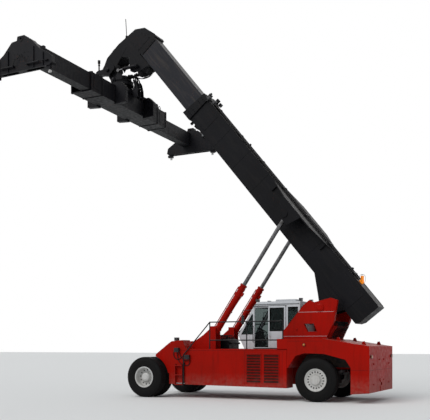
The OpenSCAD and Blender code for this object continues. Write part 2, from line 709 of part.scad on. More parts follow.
// Head of the boom: a gooseneck whose nose is a fork round the tilt pin
tilt_pin_r = 60;
head_half_w = inner_half_w + 10;
fork_in = 180;
strut_y = 430;
antenna_r = 14;
antenna_len = 820;
antenna_lean = 4;
strut_top = [inner_front - 300, 150];
strut_pin_r = 40;
module head_side() {
    polygon([[inner_front, inner_low - 40], [inner_front, inner_top + 70],
        [inner_front + 90, inner_top + 90], [inner_front + 640, inner_top - 60],
        [inner_front + 930, 1010], [inner_front + 1080, 100],
        [inner_front + 1070, -620], [tilt_pin_x + 270, tilt_pin_z + 60],
        [tilt_pin_x + 190, tilt_pin_z - 210], [tilt_pin_x - 60, tilt_pin_z - 250],
        [tilt_pin_x - 230, tilt_pin_z - 90], [inner_front + 500, -640],
        [inner_front + 660, -560], [inner_front + 560, -110], [inner_front + 250, 130]]);
}
module boom_head() color("#202126") in_boom() {
    difference() {
        slab(-head_half_w, head_half_w) head_side();
        slab(-head_half_w + 25, head_half_w - 25) {
            intersection() {
                offset(delta = -25) head_side();
                translate([inner_front, -350]) square([1200, 2000]);
            }
            translate([inner_front - 1, inner_low]) square([30, inner_top - inner_low]);
        }
        slab(-fork_in, fork_in) polygon([[inner_front + 300, -500],
            [inner_front + 1200, -500], [inner_front + 1200, -1400],
            [inner_front + 300, -1400]]);
    }
    shaft_y(tilt_pin_x, tilt_pin_z, tilt_pin_r, -head_half_w - 40, head_half_w + 40);
    // Aerial on a bracket of the nose
    block([inner_front + 1000, -50, 400], [inner_front + 1260, 50, 450]);
    translate([inner_front + 1205, 0, 440]) rotate([0, boom_angle + antenna_lean, 0]) {
        cylinder(r = 50, h = 120);
        cylinder(r = antenna_r, h = antenna_len);
    }
    // Brackets of the tilt struts under the head, with the plate that closes them
    slab(-head_half_w + 59, head_half_w - 59) polygon([[inner_front - 660, inner_low - fit],
        [inner_front - 540, 160], [inner_front - 515, 165], [inner_front - 625, inner_low - fit]]);
    pair() {
        slab(head_half_w - 60, head_half_w - fit) polygon([[inner_front - 660, inner_low - fit],
            [inner_front - 0, inner_low - 39], [inner_front + 250, 131], [inner_front + 180, 0],
            [inner_front - 190, -200], [inner_front - 340, -130], [inner_front - 540, 160]]);
        shaft_y(strut_top.x, strut_top.y, strut_pin_r, head_half_w - 30, strut_y + 60);
    }
}

// Lift cylinders
rod_tail = norm(lift_run) - lift_rod_len;
module lift_barrel(side) color("firebrick") in_lift(side) difference() {
    union() {
        shaft_y(0, 0, 125, -75, 75);
        rotate([0, 90, 0]) translate([0, 0, 60]) cylinder(r = lift_barrel_r, h = lift_barrel_len - 60);
        for (x = [lift_barrel_len - 170, lift_barrel_len - 420, 420])
            rotate([0, 90, 0]) translate([0, 0, x]) cylinder(r = lift_barrel_r + 16, h = 110);
        // Oil pipe along the barrel
        tubes([[[460, 0, -lift_barrel_r], [460, 0, -lift_barrel_r - 40],
            [lift_barrel_len - 120, 0, -lift_barrel_r - 40], [lift_barrel_len - 120, 0, -lift_barrel_r]]], 16);
    }
    shaft_y(0, 0, lift_pin_r + fit, -76, 76);
    rotate([0, 90, 0]) translate([0, 0, 200]) cylinder(r = lift_rod_r + fit, h = lift_barrel_len);
}
module lift_rod(side) color("silver") in_lift(side) {
    rotate([0, 90, 0]) translate([0, 0, rod_tail]) cylinder(r = lift_rod_r, h = lift_rod_len - 60);
    shaft_y(norm(lift_run), 0, 125, -70, 70);
}

// Tilt struts between the head's brackets and the yoke's levers
strut_a = boom_point(strut_top.x, strut_top.y);
strut_b = tilt_pin + [-600, -150];
strut_run = strut_b - strut_a;
strut_len = norm(strut_run);
strut_r = 62;
strut_rod_r = 35;
strut_barrel_len = 590;
strut_tail = 165;
module in_strut(side) translate([strut_a.x, side * strut_y, strut_a.y])
    rotate([0, -atan2(strut_run.y, strut_run.x), 0]) children();
module tilt_barrels() color("#26272b") for (side = [-1, 1]) in_strut(side) difference() {
    union() {
        shaft_y(0, 0, 75, -40, 40);
        rotate([0, 90, 0]) translate([0, 0, 40]) cylinder(r = strut_r, h = strut_barrel_len - 40);
    }
    shaft_y(0, 0, strut_pin_r + fit, -41, 41);
    rotate([0, 90, 0]) translate([0, 0, 90]) cylinder(r = strut_rod_r + fit, h = strut_barrel_len);
}
module tilt_rods() color("silver") for (side = [-1, 1]) in_strut(side) {
    rotate([0, 90, 0]) translate([0, 0, strut_tail])
        cylinder(r = strut_rod_r, h = strut_len - strut_tail - 40);
    shaft_y(strut_len, 0, 65, -35, 35);
}

// Yoke that hangs on the tilt pin and carries the slewing ring
yoke_low = tilt_pin.y - 500;
ring_r = 430;
post_r = 120;
ring_h = 90;
module yoke() color("#202126") {
    slab(-fork_in + 12, fork_in - 12) difference() {
        union() {
            translate(tilt_pin) circle(150);
            polygon([[slew_x - 300, yoke_low], [slew_x + 400, yoke_low],
                tilt_pin + [140, -50], tilt_pin + [-60, 135], tilt_pin + [-420, -210],
                [slew_x - 300, yoke_low + 200]]);
        }
        translate(tilt_pin) circle(tilt_pin_r + fit);
    }
    // Bracket ahead of the pin with the post of the camera
    slab(-120, 120) polygon([tilt_pin + [120, -60], tilt_pin + [720, -60],
        tilt_pin + [720, 90], tilt_pin + [600, 150], tilt_pin + [100, 150]]);
    translate([tilt_pin.x + 650, 0, tilt_pin.y + 80]) {
        cylinder(r = 30, h = 480);
        translate([0, 0, 400]) cylinder(r = 55, h = 130);
    }
    pair() slab(strut_y - 85, strut_y - 41) {
        translate(strut_b) circle(80);
        polygon([[slew_x - 240, yoke_low - 1], [slew_x + 60, yoke_low - 1],
            strut_b + [70, 0], strut_b + [-70, 0]]);
    }
    translate([slew_x, 0, yoke_low - ring_h]) cylinder(r = ring_r, h = ring_h);
    translate([slew_x, 0, yoke_low - ring_h - 200]) cylinder(r = post_r, h = 201);
}

// Slewing frame with the rails that the main frame shifts along
main_top = main_low_z + main_h;
cage_half_w = 900;
cage_half_len = 1150;
ring_low = yoke_low - ring_h;
module rotator() color("#24252a") {
    difference() {
        translate([slew_x, 0, ring_low - 80 - fit]) cylinder(r = ring_r + 40, h = 80);
        translate([slew_x, 0, ring_low - 300]) cylinder(r = post_r + fit, h = 400);
    }
    difference() {
        block([slew_x - 560, -cage_half_len, main_top + 12], [slew_x + 560, cage_half_len, main_top + 92]);
        translate([slew_x, 0, main_top]) cylinder(r = post_r + 60, h = 100);
    }
    // Legs between the plates and the ring
    for (k = [0 : 5]) rotate_about(slew_x, 60 * k + 30)
        block([slew_x + 260, -30, main_top + 91], [slew_x + 420, 30, ring_low - 80]);
    for (sx = [-1, 1], y = [-cage_half_len, cage_half_len - 200])
        translate([slew_x, y, 0]) slab(0, 200) scale_x(sx) polygon([
            [main_half_w + slide_gap + 2, main_top + 92], [cage_half_w - 200, main_top + 92],
            [cage_half_w, main_top - 100], [cage_half_w, main_low_z - 20],
            [main_half_w - 60, main_low_z - 60], [main_half_w - 60, main_low_z - fit],
            [main_half_w + slide_gap + 2, main_low_z - fit]]);
}
module rotate_about(x, turn) translate([x, 0, 0]) rotate(turn) translate([-x, 0, 0]) children();
module scale_x(s) {
    if (s > 0) children();
    else mirror([1, 0, 0]) children();
}

arm_gap = 12;
arm_overlap = 2200;
module spreader_frame() color("#202126") difference() {
    block([slew_x - main_half_w, -main_half_len, main_low_z], [slew_x + main_half_w, main_half_len, main_top]);
    pair() for (x = [slew_x - main_half_w + sheet, slew_x + 12])
        block([x, -1, main_low_z + sheet],
            [x + main_half_w - sheet - 12, main_half_len + 1, main_top - sheet]);
}

// Valve blocks, oil tank and pipes on top of the main frame
module spreader_valves() color("#1c1d20") {
    top = main_top + fit;
    block([slew_x - 300, -2350, top], [slew_x + 300, -1950, top + 260]);
    block([slew_x - 200, -2650, top], [slew_x - 20, -2450, top + 180]);
    block([slew_x + 60, -2650, top], [slew_x + 240, -2450, top + 140]);
    for (x = [-120, 0, 120]) translate([slew_x + x, -2150, top + 259]) cylinder(r = 35, h = 110);
    for (x = [-380, 380]) {
        tube([slew_x + x, 1980, top + 40], [slew_x + x, main_half_len - 80, top + 40], 20);
        for (y = [2050, main_half_len - 180])
            block([slew_x + x - 40, y, top], [slew_x + x + 40, y + 50, top + 70]);
    }
}

// An arm slides in its half of the main frame and carries an end beam
end_beam_w = 240;
end_low = load_top_z + 110;
end_rise = 330;
lug_hole_r = 35;
arm_half_w = (main_half_w - sheet - 12) / 2 - arm_gap;
arm_wall = 16;
module end_beam_side() difference() {
    translate([slew_x, 0]) polygon([[-1200, end_low], [1200, end_low],
        [1300, end_low + 90], [1250, end_low + end_rise], [760, end_low + 640],
        [400, end_low + 1010], [180, end_low + 1030], [150, end_low + 1170],
        [-150, end_low + 1170], [-180, end_low + 1030], [-400, end_low + 1010],
        [-760, end_low + 640], [-1250, end_low + end_rise], [-1300, end_low + 90]]);
    translate([slew_x, end_low + 1080]) circle(lug_hole_r);
}
module arm(side) color("#24252a") {
    arm_x = slew_x - side * (arm_half_w + arm_gap + 12);
    far = lock_span / 2 - end_beam_w / 2;
    scale_side(side) {
        difference() {
            block([arm_x - arm_half_w, main_half_len - arm_overlap, main_low_z + sheet + fit],
                [arm_x + arm_half_w, far + 1, main_top - sheet - arm_gap]);
            block([arm_x - arm_half_w + arm_wall, main_half_len - arm_overlap - 1,
                main_low_z + sheet + fit + arm_wall],
                [arm_x + arm_half_w - arm_wall, far, main_top - sheet - arm_gap - arm_wall]);
        }
        difference() {
            slab(far, far + end_beam_w) end_beam_side();
            slab(far + arm_wall, far + end_beam_w - arm_wall) intersection() {
                offset(delta = -arm_wall) end_beam_side();
                translate([slew_x - 1400, end_low]) square([2800, 1000]);
            }
            for (x = [-900, 180])
                block([slew_x + x, far + 50, end_low - 1], [slew_x + x + 720, far + end_beam_w - 50, end_low + 40]);
        }
    }
    // Lock housings under the end beam
    scale_side(side) for (x = [-1, 1]) translate([slew_x + x * lock_gauge / 2, lock_span / 2, 0])
        difference() {
            translate([-85, -85, load_top_z + 6]) cube([170, 170, end_low - load_top_z - 5]);
            translate([0, 0, load_top_z]) cylinder(r = 40, h = 120);
        }
}

module lock(fore, side) color("gold") translate([slew_x + fore * lock_gauge / 2, side * lock_span / 2, 0]) {
    translate([0, 0, load_top_z - 90]) cylinder(r = 39.5, h = 190);
    translate([-50, -28, load_top_z - 90]) cube([100, 56, 60]);
}

module placed() translate([-mid_x, 0, 0]) children();

placed() frame();
placed() engine();
placed() housing();  // housing_left
placed() mirror([0, 1, 0]) housing();  // housing_right
placed() deck();
placed() lift_guards();
placed() main_valve();
placed() mudguards();
placed() counterweight();
placed() tower();
placed() front_axle();
placed() rear_axle();
placed() rails_and_steps();
placed() lamps();
placed() exhaust();
placed() cab_shell();
placed() cab_glass();
placed() seat();
placed() console();
placed() cab_door();
placed() door_glass();
placed() front_tyres();  // tyres_front_left
placed() front_rims();  // rims_front_left
placed() mirror([0, 1, 0]) front_tyres();  // tyres_front_right
placed() mirror([0, 1, 0]) front_rims();  // rims_front_right
placed() knuckle(1);  // knuckle_left
placed() knuckle(-1);  // knuckle_right
placed() tyre(0, rear_wheel_y);  // tyre_rear_left
placed() rear_rim();  // rim_rear_left
placed() tyre(0, -rear_wheel_y);  // tyre_rear_right
placed() mirror([0, 1, 0]) rear_rim();  // rim_rear_right
placed() steering_rod();
placed() lift_barrel(1);  // lift_barrel_left
placed() lift_barrel(-1);  // lift_barrel_right
placed() lift_rod(1);  // lift_rod_left
placed() lift_rod(-1);  // lift_rod_right
placed() boom_outer();
placed() boom_pipes();
placed() beacon();
placed() boom_inner();
placed() boom_head();
placed() tilt_barrels();
placed() tilt_rods();
placed() yoke();
placed() rotator();
placed() spreader_frame();
placed() spreader_valves();
placed() arm(1);  // spreader_arm_left
placed() arm(-1);  // spreader_arm_right
placed() lock(1, 1);  // lock_front_left
placed() lock(-1, 1);  // lock_rear_left
placed() lock(1, -1);  // lock_front_right
placed() lock(-1, -1);  // lock_rear_right
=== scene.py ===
# %% [markdown]
# # Dressing a reach stacker
# A reach stacker is a port machine that lifts large loads with a telescopic
# boom. Lengths are in metres: X points to the spreader, Y to the machine's
# left and Z up.

# %% Load the frame
import math

import bmesh
import bpy
from mathutils import Matrix, Vector


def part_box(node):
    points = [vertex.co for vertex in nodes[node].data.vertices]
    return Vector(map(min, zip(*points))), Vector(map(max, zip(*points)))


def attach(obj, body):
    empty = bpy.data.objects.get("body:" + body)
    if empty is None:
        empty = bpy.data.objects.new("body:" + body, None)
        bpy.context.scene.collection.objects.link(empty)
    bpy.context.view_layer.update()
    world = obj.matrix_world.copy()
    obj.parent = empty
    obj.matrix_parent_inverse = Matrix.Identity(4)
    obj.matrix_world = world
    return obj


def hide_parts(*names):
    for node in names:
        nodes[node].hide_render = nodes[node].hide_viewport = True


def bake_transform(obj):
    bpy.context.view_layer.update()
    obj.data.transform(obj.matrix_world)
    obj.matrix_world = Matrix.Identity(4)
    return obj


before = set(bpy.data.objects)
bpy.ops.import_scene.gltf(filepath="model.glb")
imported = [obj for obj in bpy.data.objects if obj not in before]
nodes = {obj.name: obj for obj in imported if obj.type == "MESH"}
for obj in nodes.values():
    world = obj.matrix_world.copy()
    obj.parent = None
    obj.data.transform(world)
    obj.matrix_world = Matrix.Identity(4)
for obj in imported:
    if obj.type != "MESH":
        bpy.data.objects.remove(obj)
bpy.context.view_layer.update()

# %% [markdown]
# A maker's drawing gives lengths from the rear axle, and along the boom from
# its pivot. The rear tyre's box tells where that axle is in the frame. Two
# matrices carry both ways of giving a place, so that a piece is drawn straight
# and then turned with its mesh, which leaves its object unturned.

# %% Places from the rear axle and along the boom
mm = 0.001
tyre_low, tyre_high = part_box("tyre_rear_left")
axle_x = (tyre_low.x + tyre_high.x) / 2
boom_angle = math.radians(50.8)
pivot_x, pivot_z = 0.05, 3.25
slew_x = 8.85
chassis_place = Matrix.Translation((axle_x, 0, 0))
boom_pivot = Matrix.Translation((axle_x + pivot_x, 0, pivot_z))
boom_place = boom_pivot @ Matrix.Rotation(-boom_angle, 4, "Y")
print("rear axle at x =", round(axle_x, 4))

# %% [markdown]
# The photograph was taken level, with the picture's frame shifted upwards, so
# that uprights stay upright. The camera's place, its lens and its shift were
# worked out from edges in the picture whose real lengths are known.

# %% The camera
camera_data = bpy.data.cameras.new("camera")
camera_data.sensor_width = 36
camera_data.lens = 62.54
camera_data.shift_y = 0.3157
camera_data.clip_end = 400
camera = bpy.data.objects.new("camera", camera_data)
scene = bpy.context.scene
scene.collection.objects.link(camera)
camera.location = chassis_place @ Vector((-8.270, 25.701, 1.915))
camera.rotation_euler = (math.pi / 2, 0, math.atan2(-0.4476, -0.8942))
scene.camera = camera
print("camera at", tuple(round(v, 2) for v in camera.location))

# %% [markdown]
# An overcast sky lights the machine from all round. The world gives the even
# light, and a wide soft sun from the left and behind shapes the plates. What
# the camera sees behind the machine, or in chrome and glass, is plain white,
# so the backdrop isn't bought with more light on the paint.
#
# Every world and material below is made of nodes. One small function adds a
# node with its settings, its links and, for a colour ramp, its stops.

# %% World, sun and floor
scene.view_settings.view_transform = "Standard"


def add(tree, kind, links=None, stops=(), **settings):
    """Adds a node: settings by name, links from sockets or values, and ramp stops."""
    node = tree.nodes.new("ShaderNode" + kind)
    for key, value in settings.items():
        setattr(node, key, value)
    for key, value in (links or {}).items():
        if isinstance(value, bpy.types.NodeSocket):
            tree.links.new(value, node.inputs[key])
        else:
            node.inputs[key].default_value = value
    for place, (position, grey) in enumerate(stops):
        if place > 1:
            node.color_ramp.elements.new(position)
        node.color_ramp.elements[place].position = position
        node.color_ramp.elements[place].color = (grey, grey, grey, 1)
    return node


def hex_colour(text):
    """An sRGB hex value as a linear colour."""
    parts = [int(text[k : k + 2], 16) / 255 for k in (0, 2, 4)]
    return (*[p / 12.92 if p <= 0.04045 else ((p + 0.055) / 1.055) ** 2.4 for p in parts], 1.0)


world = bpy.data.worlds.new("overcast")
scene.world = world
world.use_nodes = True
tree = world.node_tree
tree.nodes.clear()
path = add(tree, "LightPath")
sky = add(tree, "Background", {"Color": hex_colour("e9eef4"), "Strength": 0.6})
plain = add(tree, "Background", {"Color": hex_colour("ffffff"), "Strength": 1.0})
seen = add(tree, "Math", {0: path.outputs["Is Camera Ray"], 1: path.outputs["Is Transmission Ray"]},
    operation="MAXIMUM")
seen = add(tree, "Math", {0: seen.outputs[0], 1: path.outputs["Is Glossy Ray"]},
    operation="MAXIMUM")
shown = add(tree, "MixShader", {0: seen.outputs[0], 1: sky.outputs[0], 2: plain.outputs[0]})
add(tree, "OutputWorld", {"Surface": shown.outputs[0]})

sun_data = bpy.data.lights.new("soft_sun", "SUN")
sun_data.energy = 1.6
sun_data.angle = math.radians(40)
sun = bpy.data.objects.new("soft_sun", sun_data)
scene.collection.objects.link(sun)
sun.rotation_euler = (math.radians(42), math.radians(-12), math.radians(170))

floor_mesh = bpy.data.meshes.new("floor")
bm = bmesh.new()
bmesh.ops.create_grid(bm, x_segments=1, y_segments=1, size=150)
bm.to_mesh(floor_mesh)
bm.free()
floor = bpy.data.objects.new("floor", floor_mesh)
scene.collection.objects.link(floor)
floor_finish = bpy.data.materials.new("pale_floor")
floor_finish.use_nodes = True
floor_shader = floor_finish.node_tree.nodes["Principled BSDF"]
floor_shader.inputs["Base Color"].default_value = hex_colour("dcdcda")
floor_shader.inputs["Roughness"].default_value = 0.9
floor_mesh.materials.append(floor_finish)
print("world, sun and floor made")

# %% [markdown]
# ## Enamel on steel plate
# Enamel sprayed on rolled steel is the main finish here, and it is never one
# even colour. Broad patches fade, rain pulls dirt down in streaks, road dust
# settles on level faces and low down, and chips show primer or rust. All of it
# reads Object coordinates, which are metres on this machine: a noise scale of
# 1 over a size in metres gives patches of about that size.
#
# The pattern could be painted by hand, but a procedure keeps its real scale on
# a 12 m machine and goes round every corner without a seam.

# %% Enamel


def start_finish(name):
    """A new finish: its material, its nodes, its shader and its Object coordinates."""
    finish = bpy.data.materials.new(name)
    finish.use_nodes = True
    tree = finish.node_tree
    return finish, tree, tree.nodes["Principled BSDF"], add(tree, "TexCoord").outputs["Object"]


def enamel(name, colour, faded, dirt, rust, rough, streaks=0.35, dust=0.3, chips=0.5, turn=0.0,
        sheen=0.3, second=None):
    """Sprayed enamel: fading, streaks, dust on level faces, mud low down and chips.

    turn leans the streaks, for a part that was washed along its own length, and
    second is a colour and the X from which it covers the first.
    """
    finish, tree, shader, place = start_finish(name)
    broad = add(tree, "TexNoise", {"Vector": place, "Scale": 1 / 1.4, "Detail": 5.0})
    share = add(tree, "ValToRGB", {"Fac": broad.outputs["Fac"]}, stops=((0.35, 0.0), (0.72, 1.0)))
    base = add(tree, "Mix", {0: share.outputs[0], 6: hex_colour(colour), 7: hex_colour(faded)},
        data_type="RGBA")
    if second:
        ahead = add(tree, "SeparateXYZ", {0: place}).outputs["X"]
        covered = add(tree, "Math", {0: ahead, 1: second[1]}, operation="GREATER_THAN")
        base = add(tree, "Mix", {0: covered.outputs[0], 6: base.outputs[2],
            7: hex_colour(second[0])}, data_type="RGBA")
    # Streaks are 110 mm wide and about 1.2 m long
    long = add(tree, "Mapping", {"Vector": place, "Rotation": (0, turn, 0),
        "Scale": (0.11, 0.11, 1.25)}, vector_type="TEXTURE")
    rain = add(tree, "TexNoise", {"Vector": long.outputs[0], "Scale": 1.0, "Detail": 8.0,
        "Roughness": 0.65})
    run = add(tree, "ValToRGB", {"Fac": rain.outputs["Fac"]}, stops=((0.5, 0.0), (0.78, 1.0)))
    run = add(tree, "Math", {0: run.outputs[0], 1: streaks}, operation="MULTIPLY")
    base = add(tree, "Mix", {0: run.outputs[0], 6: base.outputs[2], 7: hex_colour(dirt)},
        data_type="RGBA")
    # Dust lies on faces that look up, and mud is thrown on what is near the ground
    normal = add(tree, "NewGeometry").outputs["Normal"]
    up = add(tree, "SeparateXYZ", {0: normal}).outputs["Z"]
    level = add(tree, "MapRange", {0: up, 1: 0.35, 2: 0.95, 3: 0.0, 4: dust})
    height = add(tree, "SeparateXYZ", {0: place}).outputs["Z"]
    low = add(tree, "MapRange", {0: height, 1: 0.25, 2: 0.95, 3: dust, 4: 0.0})
    fine = add(tree, "TexNoise", {"Vector": place, "Scale": 1 / 0.12, "Detail": 6.0})
    patchy = add(tree, "ValToRGB", {"Fac": fine.outputs["Fac"]}, stops=((0.3, 0.15), (0.65, 1.0)))
    soiled = add(tree, "Math", {0: level.outputs[0], 1: low.outputs[0]}, operation="MAXIMUM")
    soiled = add(tree, "Math", {0: soiled.outputs[0], 1: patchy.outputs[0]}, operation="MULTIPLY")
    base = add(tree, "Mix", {0: soiled.outputs[0], 6: base.outputs[2], 7: hex_colour("857c70")},
        data_type="RGBA")
    # Chips are 10 to 35 mm across, in clusters half a metre wide
    small = add(tree, "TexNoise", {"Vector": place, "Scale": 1 / 0.035, "Detail": 4.0,
        "Roughness": 0.7})
    small = add(tree, "ValToRGB", {"Fac": small.outputs["Fac"]}, stops=((0.63, 0.0), (0.66, 1.0)))
    where = add(tree, "TexNoise", {"Vector": place, "Scale": 1 / 0.55, "Detail": 2.0})
    where = add(tree, "ValToRGB", {"Fac": where.outputs["Fac"]}, stops=((0.52, 0.0), (0.64, chips)))
    chipped = add(tree, "Math", {0: small.outputs[0], 1: where.outputs[0]}, operation="MULTIPLY")
    base = add(tree, "Mix", {0: chipped.outputs[0], 6: base.outputs[2], 7: hex_colour(rust)},
        data_type="RGBA")
    tree.links.new(base.outputs[2], shader.inputs["Base Color"])
    gloss = add(tree, "MapRange", {0: patchy.outputs[0], 1: 0.0, 2: 1.0, 3: rough - 0.08,
        4: rough + 0.14})
    tree.links.new(gloss.outputs[0], shader.inputs["Roughness"])
    shader.inputs["IOR"].default_value = 1.5
    shader.inputs["Specular IOR Level"].default_value = sheen
    # Rolled plate is a little wavy, and spray leaves a 4 mm orange peel
    wavy = add(tree, "TexNoise", {"Vector": place, "Scale": 1 / 0.45, "Detail": 1.0})
    peel = add(tree, "TexNoise", {"Vector": place, "Scale": 1 / (4 * mm), "Detail": 1.0})
    waves = add(tree, "Bump", {"Height": wavy.outputs["Fac"], "Strength": 0.2, "Distance": 0.02})
    skin = add(tree, "Bump", {"Height": peel.outputs["Fac"], "Strength": 0.12, "Distance": 0.001,
        "Normal": waves.outputs[0]})
    tree.links.new(skin.outputs[0], shader.inputs["Normal"])
    return finish


# Chassis, housings, tower and lift barrels
red_enamel = enamel("red_enamel", "9e0d03", "8a1005", "3c0c06", "35150d", 0.36, chips=0.5,
    sheen=0.06)
# Wires of the vent screens: red enamel, darker than the skin round them as painted shade of the
# recess behind
grille_red_and_painted_shade = enamel("grille_red_and_painted_shade", "470b08", "3a0a07", "240c0a", "35150d", 0.55, sheen=0.1)
# Outer boom, head and exhaust; its streaks run along the boom
black_enamel = enamel("black_enamel", "0a0a0d", "101014", "2b2825", "5b3320", 0.38, streaks=0.25,
    dust=0.12, sheen=0.1, turn=-boom_angle + math.pi / 2)
# Inner boom, rubbed and scratched where the collar's pads slide
worn_enamel = enamel("worn_enamel", "16171d", "1f2026", "4c443d", "6b4128", 0.36, streaks=0.6,
    chips=0.9, sheen=0.15, turn=-boom_angle + math.pi / 2)
# Spreader and carriage, the most knocked about, so the most chipped
spreader_enamel = enamel("spreader_enamel", "0b0b0f", "141418", "2b2724", "6b3a20", 0.42,
    streaks=0.4, dust=0.15, chips=1.0, sheen=0.12)
# Cab and roof
white_enamel = enamel("white_enamel", "c4c6c9", "b4b6ba", "85847e", "6b4a36", 0.3, streaks=0.3,
    chips=0.3)
# Rims, greyed by brake dust
wheel_enamel = enamel("wheel_enamel", "c8c8c6", "b3b1ac", "6a655e", "6a4632", 0.42, streaks=0.35,
    chips=0.8)
# The steps' stringers stand ahead of the black rails and are sprayed with the housings
rail_enamel = enamel("rail_enamel", "111114", "1b1b1f", "3a3632", "6b3a22", 0.42, dust=0.15,
    sheen=0.15, second=("8c0d04", axle_x + 5.087))
print("enamels made")

# %% [markdown]
# ## Cast iron, chrome, rubber, glass, plastic and cloth
# Not all is paint. Cast iron is rough and greasy, a chromed rod is smooth under
# an oil film, rubber is matt and dusty, and the panes are a little green.

# %% Metals


def cast_iron(name, colour):
    """Sand-cast iron under old paint and grease, with grit about 6 mm across."""
    finish, tree, shader, place = start_finish(name)
    patch = add(tree, "TexNoise", {"Vector": place, "Scale": 1 / 0.2, "Detail": 6.0})
    share = add(tree, "ValToRGB", {"Fac": patch.outputs["Fac"]}, stops=((0.4, 0.0), (0.7, 1.0)))
    base = add(tree, "Mix", {0: share.outputs[0], 6: hex_colour(colour), 7: hex_colour("463c33")},
        data_type="RGBA")
    tree.links.new(base.outputs[2], shader.inputs["Base Color"])
    rough = add(tree, "MapRange", {0: patch.outputs["Fac"], 1: 0.3, 2: 0.7, 3: 0.5, 4: 0.8})
    tree.links.new(rough.outputs[0], shader.inputs["Roughness"])
    grit = add(tree, "TexNoise", {"Vector": place, "Scale": 1 / (6 * mm), "Detail": 3.0})
    bump = add(tree, "Bump", {"Height": grit.outputs["Fac"], "Strength": 0.5, "Distance": 0.003})
    tree.links.new(bump.outputs[0], shader.inputs["Normal"])
    return finish


def chromed_rod(name, colour, film_colour):
    """Hard chrome on a ground rod, dulled by a thin film of oil and dust."""
    finish, tree, shader, place = start_finish(name)
    film = add(tree, "TexNoise", {"Vector": place, "Scale": 1 / 0.09, "Detail": 7.0})
    share = add(tree, "ValToRGB", {"Fac": film.outputs["Fac"]}, stops=((0.35, 0.0), (0.75, 1.0)))
    base = add(tree, "Mix", {0: share.outputs[0], 6: hex_colour(colour),
        7: hex_colour(film_colour)}, data_type="RGBA")
    tree.links.new(base.outputs[2], shader.inputs["Base Color"])
    rough = add(tree, "MapRange", {0: film.outputs["Fac"], 1: 0.3, 2: 0.7, 3: 0.24, 4: 0.45})
    tree.links.new(rough.outputs[0], shader.inputs["Roughness"])
    shader.inputs["Metallic"].default_value = 1.0
    return finish


# Engine, axles and knuckles
greasy_iron = cast_iron("greasy_iron", "262628")
# Hand holes, arch walls, pins and exhaust: dark iron, darker still as painted shade where little
# light comes; in the hand holes and on the arch walls it is painted shade
dark_iron_and_painted_shade = cast_iron("dark_iron_and_painted_shade", "151517")
# Rods of the cylinders
rod_chrome = chromed_rod("rod_chrome", "6f6f71", "403e3b")
# Locks and the low step, rubbed bare
bright_steel = chromed_rod("bright_steel", "b9babb", "8c8a86")
print("metals made")

# %% Rubber and plastic


def moulded_rubber(name, colour, dusty, grain=5 * mm, dust=0.5):
    """Vulcanised rubber with carbon black, greyed by road dust in its hollows."""
    finish, tree, shader, place = start_finish(name)
    cloud = add(tree, "TexNoise", {"Vector": place, "Scale": 1 / 0.16, "Detail": 8.0,
        "Roughness": 0.6})
    share = add(tree, "ValToRGB", {"Fac": cloud.outputs["Fac"]}, stops=((0.38, 0.0), (0.74, dust)))
    base = add(tree, "Mix", {0: share.outputs[0], 6: hex_colour(colour), 7: hex_colour(dusty)},
        data_type="RGBA")
    tree.links.new(base.outputs[2], shader.inputs["Base Color"])
    rough = add(tree, "MapRange", {0: cloud.outputs["Fac"], 1: 0.3, 2: 0.7, 3: 0.62, 4: 0.9})
    tree.links.new(rough.outputs[0], shader.inputs["Roughness"])
    shader.inputs["IOR"].default_value = 1.52
    shader.inputs["Specular IOR Level"].default_value = 0.12
    skin = add(tree, "TexNoise", {"Vector": place, "Scale": 1 / grain, "Detail": 3.0})
    bump = add(tree, "Bump", {"Height": skin.outputs["Fac"], "Strength": 0.35, "Distance": 0.002})
    tree.links.new(bump.outputs[0], shader.inputs["Normal"])
    return finish


def moulded_plastic(name, colour, rough=0.5, glow=0.0):
    """Injection moulding with a 1.5 mm leather-like grain, drawn at 3 mm to show."""
    finish, tree, shader, place = start_finish(name)
    worn = add(tree, "TexNoise", {"Vector": place, "Scale": 1 / 0.08, "Detail": 5.0})
    dark = tuple(c * 0.7 for c in hex_colour(colour)[:3]) + (1,)
    base = add(tree, "Mix", {0: worn.outputs["Fac"], 6: hex_colour(colour), 7: dark},
        data_type="RGBA")
    tree.links.new(base.outputs[2], shader.inputs["Base Color"])
    gloss = add(tree, "MapRange", {0: worn.outputs["Fac"], 1: 0.3, 2: 0.7, 3: rough - 0.1,
        4: rough + 0.1})
    tree.links.new(gloss.outputs[0], shader.inputs["Roughness"])
    shader.inputs["Emission Color"].default_value = hex_colour(colour)
    shader.inputs["Emission Strength"].default_value = glow
    grain = add(tree, "TexVoronoi", {"Vector": place, "Scale": 1 / (3 * mm)})
    bump = add(tree, "Bump", {"Height": grain.outputs["Distance"], "Strength": 0.15,
        "Distance": 0.0008})
    tree.links.new(bump.outputs[0], shader.inputs["Normal"])
    return finish


# Tyres
tyre_rubber = moulded_rubber("tyre_rubber", "070708", "1f1d1b")
# Hoses and cables
hose_rubber = moulded_rubber("hose_rubber", "0f0f11", "34332f", grain=3 * mm, dust=0.3)
# Gaskets of the panes, and painted shade in the gaps between doors
gasket_rubber_and_gap_shade = moulded_rubber("gasket_rubber_and_gap_shade", "0d0d0e", "2a2a29", grain=2 * mm, dust=0.3)
# The driver's console
console_plastic = moulded_plastic("console_plastic", "26262a")
# Lenses of the work lamps, which are off
clear_lens = moulded_plastic("clear_lens", "77797a", 0.15)
# The beacon, which glows a little as it is lit
amber_lens = moulded_plastic("amber_lens", "f08a12", 0.2, glow=0.45)
# Tail lamps
red_lens = moulded_plastic("red_lens", "8f120b", 0.2)
# Side markers
amber_side_lens = moulded_plastic("amber_side_lens", "c9761a", 0.25)
# Housings of lamps and mirrors, and the cab's fittings
lamp_plastic = moulded_plastic("lamp_plastic", "1c1c1f", 0.45)
print("rubbers and plastics made")

# %% Glass and cloth


